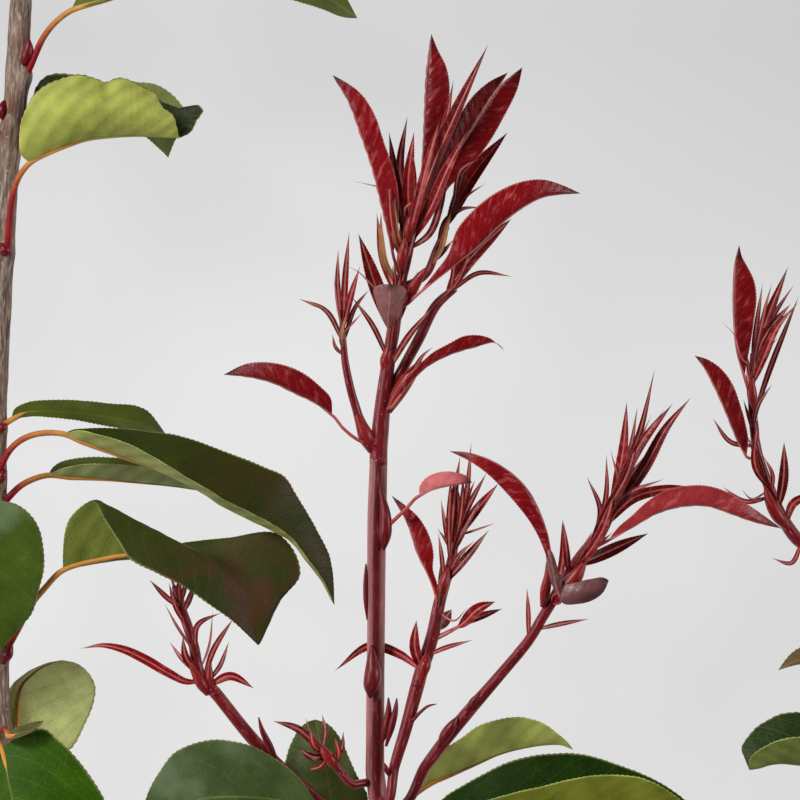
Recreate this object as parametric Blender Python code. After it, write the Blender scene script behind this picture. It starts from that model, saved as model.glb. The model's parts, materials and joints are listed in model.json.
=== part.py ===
"""A cut branch of photinia with old green leaves and new red shoots, lying down.

Lengths are in millimetres until a mesh is made. X runs to the right and Y up in
the photographed view, from the middle of that view, and Z is the height above
the surface that the branch lies on. The whole branch is moved at the end so
that its origin is the middle of the bottom of its box.
"""

import math
import random

import bmesh
import bpy
import numpy as np

MM = 0.001
GAP = 0.3
SEED = 58

# Driving sizes
STEM_RADIUS = 3.75
CUT_RADIUS = 4.6
RED_RADIUS = 2.8
SIDE_RADIUS = 1.7
STALK_RADIUS = 1.05
LEAF_THICKNESS = 1.15
YOUNG_THICKNESS = 0.24
YOUNG_WIDTH = 7.5
BASE_RUN = 1.6
ROOT_CLEAR = 2.5

# How finely each kind of shape is cut
LIMB_STEP = 18.0
TWIG_STEP = 10.0
LEAF_RINGS = 10
LED_RINGS = 13
STALK_RINGS = 5
EDGE_SHARE = 0.05
YOUNG_RING_STEP = 9.0
LIMB_SIDES = 2
TWIG_SIDES = 1
FINE = 240

COLOURS = {
    "bark": ((0.19, 0.14, 0.11, 1.0), 0.8),
    "red_stem": ((0.20, 0.022, 0.030, 1.0), 0.45),
    "red_leaf": ((0.22, 0.012, 0.020, 1.0), 0.4),
    "green_leaf": ((0.045, 0.085, 0.022, 1.0), 0.4),
}


class Limb:
    """A tapering limb: its route with a radius at each point, and what it is."""

    def __init__(self, route, finish, parent=None):
        self.route = route
        self.finish = finish
        self.parent = parent


class Blade:
    """A leaf along a way from its root to its tip, with its half width and its set.

    The roll turns the upper side from the view towards the left of the way, and
    has a value at the foot, the middle and the tip. The fold lifts both halves.
    """

    def __init__(self, way, half_width, roll=0.0, fold=20.0, stalk=0.0):
        self.way = way
        self.half_width = half_width
        self.roll = roll if isinstance(roll, tuple) else (roll, roll, roll)
        self.fold = fold
        self.stalk = stalk


class Led:
    """A leaf that is led by lines from its foot to its tip, spread evenly from edge to edge.

    With the tip to the right, the first line is the lower edge when the upper side shows.
    """

    def __init__(self, stalk, guides):
        self.stalk = stalk
        self.guides = guides

    def rib(self):
        """The line in the middle."""
        return self.guides[len(self.guides) // 2]


class Mass:
    """The leafy end of a shoot: its own stem, its twigs and its young leaves."""

    def __init__(self, limb, stem, twigs=(), blades=(), seeded=0, reach=20.0):
        self.limb = limb
        self.stem = stem
        self.twigs = twigs
        self.blades = blades
        self.seeded = seeded
        self.reach = reach


# Limbs, each from its foot to its tip, as x, y, height and radius
LIMBS = {
    "main_stem": Limb([
        (-75, -240, 4.7, CUT_RADIUS), (-87, -204, 12, 4.4), (-108, -165, 22, 4.1),
        (-118.5, -126, 31, 3.9), (-121.5, -75, 40, STEM_RADIUS), (-121.5, 0, 46, STEM_RADIUS),
        (-119.2, 47, 49, 3.7), (-117.5, 72, 50, 3.65), (-115, 93.5, 50.3, 3.5),
        (-113.5, 122, 50, 3.2), (-111, 165, 46, 2.2),
    ], "bark"),
    "centre_bough": Limb([
        (-72, -193, 16, 3.5), (-51, -174, 20, 3.4), (-20, -152, 29, 3.3), (-8.6, -132, 34.5, 3.1),
    ], "bark", "main_stem"),
    "right_bough": Limb([
        (-20, -171, 24, 2.8), (40, -166, 27, 2.7), (105, -146, 31, 2.5), (140, -112, 33, 2.2),
        (144, -86, 35, 2.0),
    ], "bark", "centre_bough"),
    "centre_shoot": Limb([
        (-7.5, -110, 38, RED_RADIUS), (-7.3, -75, 42, 2.7), (-6.8, -30, 47, 2.8),
        (-6.4, -17.5, 48.5, 2.7),
    ], "red_stem", "centre_bough"),
    "inner_shoot": Limb([
        (-4, -121, 42, 1.4), (-1.6, -110, 43, 1.6), (1.4, -100, 44, 1.8), (5.6, -84.5, 45, 2.1),
    ], "red_stem", "centre_shoot"),
    "right_shoot": Limb([
        (-0.5, -122.5, 35, 1.5), (7.9, -110, 37, SIDE_RADIUS), (17, -98, 39.5, 1.9),
        (28, -85, 42, SIDE_RADIUS), (36.5, -75, 44, 1.6),
    ], "red_stem", "centre_shoot"),
    "far_right_shoot": Limb([
        (141, -76, 37, 2.0), (136, -66, 40, 2.0), (129, -53, 42, 2.0), (123.5, -45.5, 43.5, 2.0),
    ], "red_stem", "right_bough"),
    "left_shoot": Limb([
        (-17, -125.5, 33, 1.8), (-30, -116, 33, 1.9), (-43, -103.5, 34, 1.9), (-56, -87.6, 36, 1.9),
    ], "red_stem", "centre_shoot"),
    "low_shoot": Limb([
        (-14, -115.5, 41.5, 1.3), (-18, -111.5, 43, 1.3),
    ], "red_stem", "centre_shoot"),
}

# Old leaves of the main stem and the boughs: the limb, then the leaf
LEAVES = {
    "leaf_top": ("main_stem", Led(
        stalk=[(-112.9, 97, 51), (-111, 99.4, 53), (-109.2, 103.5, 54.5), (-106.8, 108.5, 55.5),
               (-103.5, 112.7, 57), (-98.5, 116.5, 58)],
        guides=[
            [(-98.5, 116.5, 58), (-92, 118.9, 61), (-80, 121.2, 63), (-60, 122.8, 63.5),
             (-45, 122, 62), (-33, 120, 59.5), (-24, 117.4, 55.5), (-16.5, 114.7, 50.5),
             (-12.9, 114.5, 48)],
            [(-98.5, 116.5, 58), (-93.5, 118.3, 59.5), (-86.8, 120.3, 60.5), (-75, 124, 61.5),
             (-60, 127, 61.5), (-45, 127, 60), (-33, 125, 57), (-22, 120.5, 53), (-12.9, 114.6, 48)],
            [(-98.5, 116.5, 58), (-97, 120, 56.5), (-93, 127, 54), (-82, 135.5, 52.5),
             (-65, 140.5, 52), (-45, 139.5, 51), (-28, 133, 49.5), (-18, 123.5, 48.5),
             (-12.9, 114.8, 48)]])),
    "leaf_folded": ("main_stem", Led(
        stalk=[(-117.9, 43.5, 51), (-117.3, 48.5, 56), (-116.8, 54, 57.5), (-116, 60.3, 58.5),
               (-114, 66.7, 59.5), (-110.7, 70.9, 60)],
        guides=[
            [(-110.7, 70.9, 60), (-113.2, 74, 62), (-113.6, 79, 64), (-112.2, 85.5, 66),
             (-109.4, 90.8, 67), (-105.4, 94.1, 67.5), (-100.1, 96.1, 68), (-96.1, 97.1, 68),
             (-91.5, 96.1, 67.5), (-88.1, 94.9, 66), (-84.2, 96.1, 67), (-80.2, 95.3, 66.5),
             (-76.9, 93.5, 66), (-73.5, 91.8, 65), (-70.9, 87.5, 64), (-67.6, 84.8, 62),
             (-66.6, 81.5, 60.5), (-66, 78.6, 59)],
            [(-110.7, 70.9, 60), (-110.5, 73.5, 63), (-108, 79, 66.5), (-104, 83, 68),
             (-98, 86, 69), (-91, 87.3, 69), (-84, 87.3, 68.5), (-77, 86, 67), (-71, 83, 64),
             (-66, 78.6, 59)],
            [(-110.7, 70.9, 60), (-106.7, 73.5, 61), (-100.1, 76.2, 61.5), (-93.5, 78.2, 61.5),
             (-86.8, 78.9, 61.5), (-80.2, 79.2, 61), (-72.2, 78.9, 60), (-66, 78.5, 58.5)],
            [(-110.7, 70.9, 59.5), (-110, 74.5, 57), (-107.5, 80, 54.5), (-103, 85, 52.5),
             (-97, 87.5, 52), (-90, 88, 51.5), (-82, 87.5, 51.5), (-74, 86, 52), (-68, 83, 54),
             (-65, 79.5, 57)],
            [(-110.7, 70.9, 59), (-112.5, 76, 55), (-112.3, 84, 51), (-110.3, 90.8, 49.5),
             (-109, 94.1, 49), (-106.7, 96.8, 48.5), (-102.8, 98, 48), (-98.1, 97.6, 48),
             (-92, 96, 48), (-84, 94.3, 48), (-76, 92, 48.5), (-70, 89, 49.5), (-65, 87.3, 51.5),
             (-60.3, 88.3, 53), (-59.1, 86.8, 54), (-60.9, 83.5, 55.5), (-62.6, 80.2, 57),
             (-65.5, 78.4, 58.5)]])),
    "leaf_behind": ("main_stem", Led(
        stalk=[(-115.5, 77.5, 45), (-113, 80.3, 43.5), (-108.5, 83.8, 42)],
        guides=[
            [(-108.5, 83.8, 42), (-99, 82.8, 40), (-90, 82.2, 38.5), (-82, 81.3, 37),
             (-76.5, 79.2, 36), (-73, 76.2, 34.5), (-69.9, 73.1, 33.2)],
            [(-108.5, 83.8, 42), (-100, 87.5, 40.5), (-90, 89.5, 39), (-80, 88.3, 37.5),
             (-73, 83, 35.5), (-69.8, 73, 33)],
            [(-108.5, 83.8, 42), (-98, 92.5, 40), (-88, 95.2, 38), (-78.5, 95.5, 37),
             (-74.2, 95.1, 36.5), (-70.2, 93.1, 36), (-66.9, 90.1, 35.5), (-64.8, 86.7, 35),
             (-65.7, 82, 34.5), (-68, 77.5, 34), (-69.8, 73, 33)]])),
    "leaf_upper_mid": ("main_stem", Led(
        stalk=[(-119.8, -8.6, 48), (-118.6, -7.2, 49.6), (-116.6, -6.0, 49.8)],
        guides=[
            [(-116.6, -6.0, 49.8), (-114.3, -5.5, 49.8), (-109.7, -4.9, 49), (-104.5, -5, 48),
             (-99.5, -5.5, 46.5), (-89.2, -7.5, 43), (-80, -9.3, 39), (-71.8, -12.5, 34),
             (-66, -16, 31)],
            [(-116.6, -6.0, 49.8), (-113.5, -4.2, 48.8), (-109, -3.6, 47.5), (-104, -3.6, 46.5),
             (-97, -4, 45), (-88, -5.2, 42), (-79, -7.2, 38), (-71, -11.2, 33.5), (-66, -16, 30.5)],
            [(-116.6, -6.0, 49.8), (-115.6, -2.6, 47), (-111.8, -0.7, 45.5), (-104.6, 0, 43.5),
             (-94.4, -0.2, 41), (-86.2, -1, 38.5), (-79, -1.8, 36), (-75.9, -3.3, 35),
             (-73.3, -6.4, 34), (-70.5, -10.5, 32.5), (-66, -16, 30)]])),
    "leaf_long": ("main_stem", Led(
        stalk=[(-119.6, -23, 49), (-119.2, -19.2, 52), (-117.2, -15.4, 53), (-114.4, -12.6, 54),
               (-110.4, -10.6, 54.8), (-104.6, -9.8, 55.5), (-100.5, -10.2, 56)],
        guides=[
            [(-100.5, -10.2, 56), (-96.4, -9.2, 59), (-89.2, -10.5, 63), (-81, -13, 65),
             (-74.9, -16.1, 65.5), (-68.7, -19.7, 65.5), (-62.6, -23.8, 65), (-57, -27.3, 64.5),
             (-53.4, -29.8, 63.5), (-46.2, -33.2, 61.5), (-38, -37.3, 58.5), (-33, -40.9, 56),
             (-27.8, -47.6, 51.5), (-23.7, -53.4, 47.5), (-19.7, -61.7, 42)],
            [(-100.5, -10.2, 55.6), (-95.4, -12.2, 55.6), (-89.2, -14.3, 55.6), (-81, -17.3, 55.6),
             (-73.9, -20, 55.5), (-66.7, -23.1, 55.2), (-58.5, -27.3, 55), (-53.4, -30.6, 54.5),
             (-46.2, -34.3, 53.5), (-38, -38.5, 52), (-32.9, -41.5, 50.5), (-27.7, -48, 48),
             (-23.6, -53.6, 45.5), (-19.7, -61.7, 42)],
            [(-100.5, -10, 55.2), (-98, -8.8, 53.5), (-94.4, -8.5, 52.5), (-84.1, -8.5, 51),
             (-74.9, -9.4, 50.5), (-66.7, -10.5, 50), (-61.6, -12, 50), (-52.3, -15.6, 49.5),
             (-46.2, -17.9, 49), (-40, -20.5, 48), (-34.9, -22.8, 47), (-30.8, -28.9, 45.5),
             (-27.2, -35.1, 44.5), (-24.1, -41.2, 43.5), (-21.6, -46.4, 42.8), (-20.3, -52.5, 42.2),
             (-19.7, -61.7, 42)]])),
    "leaf_lower_mid": ("main_stem", Led(
        stalk=[(-118.9, -31.5, 46), (-117.2, -29.0, 47.5), (-113.9, -25.8, 46.5),
               (-109.7, -23.6, 45), (-105.7, -22.6, 43.5)],
        guides=[
            [(-105.7, -22.6, 43.5), (-102, -20.8, 44.5), (-99.5, -20, 45.5), (-94.4, -19.2, 46.5),
             (-84.1, -19.2, 46.5), (-73.9, -20.2, 45.5), (-64, -22.5, 43), (-54, -26, 40),
             (-42, -31, 35)],
            [(-105.7, -22.6, 43.2), (-99, -22.9, 42), (-89.2, -23.4, 41), (-79, -24.4, 40),
             (-68.7, -25.5, 39), (-58.5, -27.2, 37), (-50, -28.8, 35.5), (-42, -31, 34)],
            [(-105.7, -22.6, 42.8), (-104.5, -20.3, 41), (-102.6, -18.9, 39.5), (-97.4, -17.7, 38),
             (-89.2, -17.4, 37), (-82.1, -17.8, 36), (-75.9, -18.8, 35.5), (-66, -20.5, 35),
             (-54, -25, 34), (-42, -31, 33.5)]])),
    "leaf_twisted": ("main_stem", Led(
        stalk=[(-117.6, -76, 42), (-114.5, -68.5, 46), (-110, -60.5, 49), (-107, -57, 50), (-101, -51, 52)],
        guides=[
            [(-101, -51, 52), (-101, -46, 53), (-98.5, -35, 55), (-92, -30.3, 57), (-88, -36.5, 61),
             (-84.5, -42, 62), (-81, -47.3, 62), (-73, -51.5, 62), (-65, -55.5, 61), (-57, -61, 60),
             (-50, -66, 58), (-42.5, -73.5, 54)],
            [(-101, -51, 52), (-99, -47, 53), (-95.5, -38, 54), (-91, -31.5, 56), (-84, -33.5, 58),
             (-76, -37.8, 58), (-68, -42.3, 58), (-58, -48, 58), (-50, -56, 57), (-42.4, -73.3, 54)],
            [(-101, -51, 52), (-95, -48.8, 52), (-90, -47.8, 52), (-85, -46.8, 52), (-80, -46.2, 52),
             (-72, -46, 52), (-62, -46.5, 53), (-50, -50, 54), (-44, -60, 55), (-42.3, -73.2, 54)],
            [(-101, -51, 51.8), (-95, -49, 51), (-88, -47.8, 50.5), (-80, -47, 50.5),
             (-70, -45.5, 51), (-58, -44, 52), (-45, -45, 53), (-38, -52, 54), (-38, -60, 54.5),
             (-42.1, -73.1, 53.8)],
            [(-101, -51, 51.6), (-94, -49.8, 50), (-86, -48.6, 49), (-80, -47.6, 49),
             (-68, -43.5, 50), (-52, -41.3, 51), (-36, -40.6, 52), (-31, -47, 52),
             (-30, -52, 52.5), (-36, -60, 53), (-42, -73, 53.6)]])),
    "leaf_front": ("main_stem", Led(
        stalk=[(-124, -17, 49), (-126, -21, 53), (-126.5, -26, 56)],
        guides=[
            [(-126.5, -26, 56), (-132, -28, 55.5), (-138, -33, 55), (-142.5, -41, 55),
             (-143, -51, 55), (-140, -60, 54.5), (-133, -68.5, 54), (-119.8, -75, 53)],
            [(-126.5, -26, 56), (-126.6, -34, 59), (-125.8, -44, 60.5), (-124.8, -54, 60),
             (-123, -64, 57.5), (-119.7, -75, 53)],
            [(-126.5, -26, 56), (-122.5, -28.6, 56.5), (-119.5, -30, 57.5), (-114.9, -31.2, 58),
             (-110.8, -34.2, 58.5), (-108.2, -38.2, 58.5), (-106.8, -44.3, 58), (-106.6, -50.5, 57),
             (-108.1, -56.8, 56), (-110.3, -64, 55), (-114.8, -69.3, 54), (-118, -73.2, 53.3),
             (-119.6, -75, 53)]])),
    "leaf_pale": ("main_stem", Led(
        stalk=[(-118.2, -113, 31.5), (-117.2, -109.5, 29.5), (-116.2, -104, 29)],
        guides=[
            [(-116.2, -104, 29), (-120, -100, 28), (-121.5, -94, 28), (-119.5, -88, 28),
             (-115.5, -85.2, 29), (-110.5, -82.2, 29.5), (-106, -79.7, 30), (-101.6, -78.4, 30)],
            [(-116.2, -104, 29), (-115.3, -98, 30.5), (-114.8, -90, 31.5), (-113.8, -86, 32),
             (-111, -82.9, 32), (-106.7, -80, 31.5), (-101.6, -78.4, 30)],
            [(-116.2, -104, 29), (-112, -108.5, 27), (-105, -108.5, 26), (-99.3, -105, 26),
             (-95.3, -98, 26.5), (-92.4, -90.6, 27), (-92, -86.5, 27.5), (-93.9, -82.4, 28),
             (-97.4, -79.4, 29), (-101.6, -78.4, 30)]])),
    "leaf_edge_on": ("main_stem", Led(
        stalk=[(-119, -99.5, 42), (-117.9, -99.6, 47), (-117.2, -100.8, 52)],
        guides=[
            [(-117.2, -100.8, 52), (-114.3, -100.9, 56), (-110.5, -99.4, 57), (-106.5, -96.1, 56)],
            [(-117.2, -100.8, 52), (-114.1, -100, 54.7), (-110.5, -99, 55.5), (-106.5, -96.1, 55.6)],
            [(-117.2, -100.8, 52), (-115.8, -98.6, 52.8), (-112.5, -97.4, 53.5), (-109, -96.4, 54.5),
             (-106.5, -96.1, 55.2)]])),
    "leaf_bright": ("main_stem", Led(
        stalk=[(-122, -100.5, 43), (-121, -101.8, 46.5), (-119.6, -104.5, 48)],
        guides=[
            [(-119.6, -104.5, 48), (-124, -104.5, 48), (-131, -109, 48.5), (-137, -118, 49),
             (-139, -131, 50), (-135, -147, 49), (-122, -162, 45), (-100, -171, 40)],
            [(-119.6, -104.5, 48), (-118.6, -108, 49.5), (-117.2, -115, 51.5), (-115.5, -122, 53),
             (-112, -134, 54), (-107, -148, 51), (-100, -171, 40)],
            [(-119.6, -104.5, 48), (-117, -102.9, 48.6), (-113.9, -100.8, 49.4), (-109.7, -98.9, 50.2),
             (-107.2, -98.6, 50.8), (-102.6, -101.9, 51.4), (-97.4, -107, 52), (-93.3, -112.2, 52),
             (-89.2, -118.8, 51.5), (-85.5, -128, 50.5), (-85, -142, 48), (-90, -158, 44),
             (-100, -171, 40)]])),
    "leaf_low_left": ("centre_shoot", Led(
        stalk=[(-11.5, -127.5, 39), (-15.5, -127.5, 43), (-22, -124.8, 46)],
        guides=[
            [(-22, -124.8, 46), (-25.5, -120.5, 46.5), (-28.7, -115.5, 47), (-32.9, -111.1, 47.5),
             (-38, -107.3, 48), (-44.1, -104.1, 48), (-50.3, -102.5, 48), (-56.4, -102.1, 48),
             (-62.6, -103.5, 48), (-67.7, -106, 47.5), (-71.8, -111.1, 47), (-74.9, -116.3, 46.5),
             (-77.5, -124, 45), (-80, -134, 43)],
            [(-22, -124.8, 46), (-30, -121.5, 48.5), (-40, -119.5, 50.5), (-50, -118.9, 51.5),
             (-60, -119.8, 51), (-68, -123, 49.5), (-75, -128.5, 46.5), (-80, -134, 43)],
            [(-22, -124.8, 46), (-29, -131, 46), (-40, -136, 47), (-52, -138, 48),
             (-63, -138.5, 47.5), (-72, -138, 46), (-80, -134, 43)]])),
    "leaf_low_behind": ("centre_bough", Led(
        stalk=[(-19, -148, 27.5), (-19.3, -138, 26.5), (-19.5, -130, 27)],
        guides=[
            [(-19.5, -130, 27), (-13, -127, 27), (-10, -119, 27), (-12, -115.5, 27),
             (-14, -111.5, 27), (-15.7, -107.5, 27), (-17.2, -103.8, 27), (-19.3, -100.3, 26.5),
             (-22, -97.6, 26), (-25.5, -96.4, 24.5)],
            [(-19.5, -130, 27), (-20.5, -122, 28.5), (-22, -113, 29.5), (-24, -104, 28.5),
             (-25.5, -96.4, 24.5)],
            [(-19.5, -130, 27), (-29, -127, 26.5), (-34, -119, 26.5), (-35, -112, 26.5),
             (-34.3, -108, 26.5), (-32.8, -103.5, 26.5), (-30.5, -99.6, 26), (-28, -97.2, 25.5),
             (-25.5, -96.4, 24.5)]])),
    "leaf_low_right": ("centre_bough", Led(
        stalk=[(-6.5, -133.5, 31.5), (-3, -129.5, 27.5), (0, -125, 25.5), (4, -119.5, 24)],
        guides=[
            [(4, -119.5, 24), (4.5, -114, 26), (8, -109, 28), (13, -105.4, 29.5),
             (18.6, -101.7, 30.5), (23.7, -98.2, 31), (29.9, -96.3, 31.5), (35, -95.6, 31.5),
             (39.1, -96.1, 31), (43.2, -97.6, 30.5), (47.3, -100.7, 29.5), (50.4, -103.3, 28.5),
             (52.2, -105.4, 27)],
            [(4, -119.5, 24), (9.4, -115.3, 24), (14.5, -113.2, 24), (22.7, -109.7, 24.5),
             (29.9, -106.6, 25), (38.1, -104.6, 25.5), (43.2, -103.9, 26), (49.4, -104.1, 26.5),
             (52.2, -105.4, 27)],
            [(4, -119.5, 23.5), (5, -115, 20), (9, -110, 17), (15, -106.5, 15.5),
             (22, -101.5, 15), (29, -99, 15.5), (36, -98.5, 16.5), (43, -100, 19),
             (49, -103, 23), (52.2, -105.4, 26.8)]])),
    "leaf_low_front": ("right_bough", Led(
        stalk=[(-6, -168, 27), (-2, -156, 31), (5, -141, 37), (13, -132, 40)],
        guides=[
            [(13, -132, 40), (15, -126, 45), (20, -122.3, 49), (27.3, -119.7, 51),
             (35, -117.6, 52.5), (42.2, -116.1, 53), (51.4, -113.8, 53.5), (59.6, -112.6, 53.5),
             (65.8, -112.6, 53), (71.9, -113.3, 52), (76, -114.7, 51), (82, -118.3, 48),
             (88, -123.5, 43.5), (93, -129, 38.5)],
            [(13, -132, 40), (20, -129.5, 41.5), (32, -127.5, 43), (45, -126.5, 43.5),
             (58, -126, 43.5), (70, -126, 42.5), (82, -127, 40.5), (93, -129, 38)],
            [(13, -132, 39.5), (9, -126, 36), (13, -119.7, 34.5), (18.6, -116.1, 34),
             (24.8, -112.7, 34), (31.9, -109.4, 34), (39.1, -107.4, 34), (46.3, -106.6, 34),
             (53.5, -106.6, 34), (59.6, -107.9, 34), (65.8, -110, 34.5), (71.9, -112.3, 35),
             (78.1, -115.3, 35.5), (84.4, -119.5, 36), (90, -124.5, 37), (93, -129, 37.6)]])),
    "leaf_right_edge": ("right_bough", Led(
        stalk=[(141.5, -103.5, 35.5), (138.5, -105, 38), (134, -107, 40)],
        guides=[
            [(134, -107, 39.5), (130, -101, 35), (125, -96, 33), (120, -94, 32.5),
             (117.3, -94.1, 32.5), (114.2, -94.6, 32.5), (111.1, -96.1, 33), (108, -97.9, 33.5),
             (104.9, -101, 35), (102.7, -105.1, 36.5), (103.4, -107.3, 37.5), (104.9, -110.8, 38.5)],
            [(134, -107, 40), (127, -109, 41.5), (120, -109.2, 42), (114.7, -108.9, 42),
             (111.1, -109.4, 41.5), (108, -110.5, 40.5), (104.9, -111.1, 39)],
            [(134, -107, 40.5), (129, -103.3, 46), (124, -101.6, 48.5), (120, -101.3, 49.5),
             (114.7, -102, 49.5), (111.1, -103.3, 48.5), (108, -105.1, 46.5), (105.4, -107.4, 43.5),
             (104.9, -111, 39.5)]])),
    "leaf_right_small": ("far_right_shoot", Led(
        stalk=[(137.5, -73.5, 40), (134, -75.5, 42.5), (131, -76.5, 44)],
        guides=[
            [(131, -76.5, 44), (126, -73.8, 43), (120, -74.7, 41.5), (117.3, -76.6, 41.5),
             (115.7, -78.4, 41.8), (113.6, -81.2, 42)],
            [(131, -76.5, 44), (126, -77.2, 45), (120, -78.2, 44.5), (116.5, -79.5, 43.5),
             (113.6, -81.2, 42)],
            [(131, -76.5, 44), (126, -79.3, 46), (120, -79.4, 46), (116.8, -80.1, 44.5),
             (113.6, -81.2, 42)]])),
}

SHOOT_LEAF = Blade([
    (-2.2, -36.5, 51), (3, -31.7, 54), (10, -26.4, 56), (16, -23.9, 57), (21.5, -24.8, 56)],
    3.4, (35, 40, 20), 24, 0.12)

# Leaves beyond the view: limb, share along it, heading in degrees, length, crest above
# the foot, height of the tip, half width and roll
OUTER_LEAVES = {
    "outer_left_1": ("main_stem", 0.22, 200, 92, 18, 1.0, 19, 12),
    "outer_left_2": ("main_stem", 0.36, 172, 84, 20, 9.0, 18, -10),
    "outer_left_3": ("main_stem", 0.60, 172, 90, 8, 10.0, 19, 15),
    "outer_left_4": ("main_stem", 0.68, 150, 88, 14, 1.0, 18, -12),
    "outer_left_5": ("main_stem", 0.80, 185, 80, 16, 20.0, 16, 10),
    "outer_left_6": ("main_stem", 0.91, 145, 78, 14, 6.0, 16, -12),
    "outer_top_1": ("main_stem", 0.93, 40, 80, 12, 12.0, 16, 14),
    "outer_top_2": ("main_stem", 0.97, 128, 70, 10, 1.0, 14, 0),
    "outer_low_1": ("main_stem", 0.12, 345, 78, 16, 3.0, 17, -10),
    "outer_low_2": ("centre_bough", 0.35, 135, 64, 12, 26.0, 15, 10),
    "outer_low_3": ("right_bough", 0.16, 278, 66, 16, 1.0, 15, 8),
    "outer_low_4": ("right_bough", 0.36, 292, 84, 18, 4.0, 18, -10),
    "outer_right_1": ("right_bough", 0.58, 318, 88, 18, 1.0, 18, 10),
    "outer_right_2": ("right_bough", 0.76, 0, 80, 18, 6.0, 17, -10),
    "outer_right_3": ("right_bough", 0.95, 28, 84, 16, 1.0, 17, 8),
}

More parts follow.
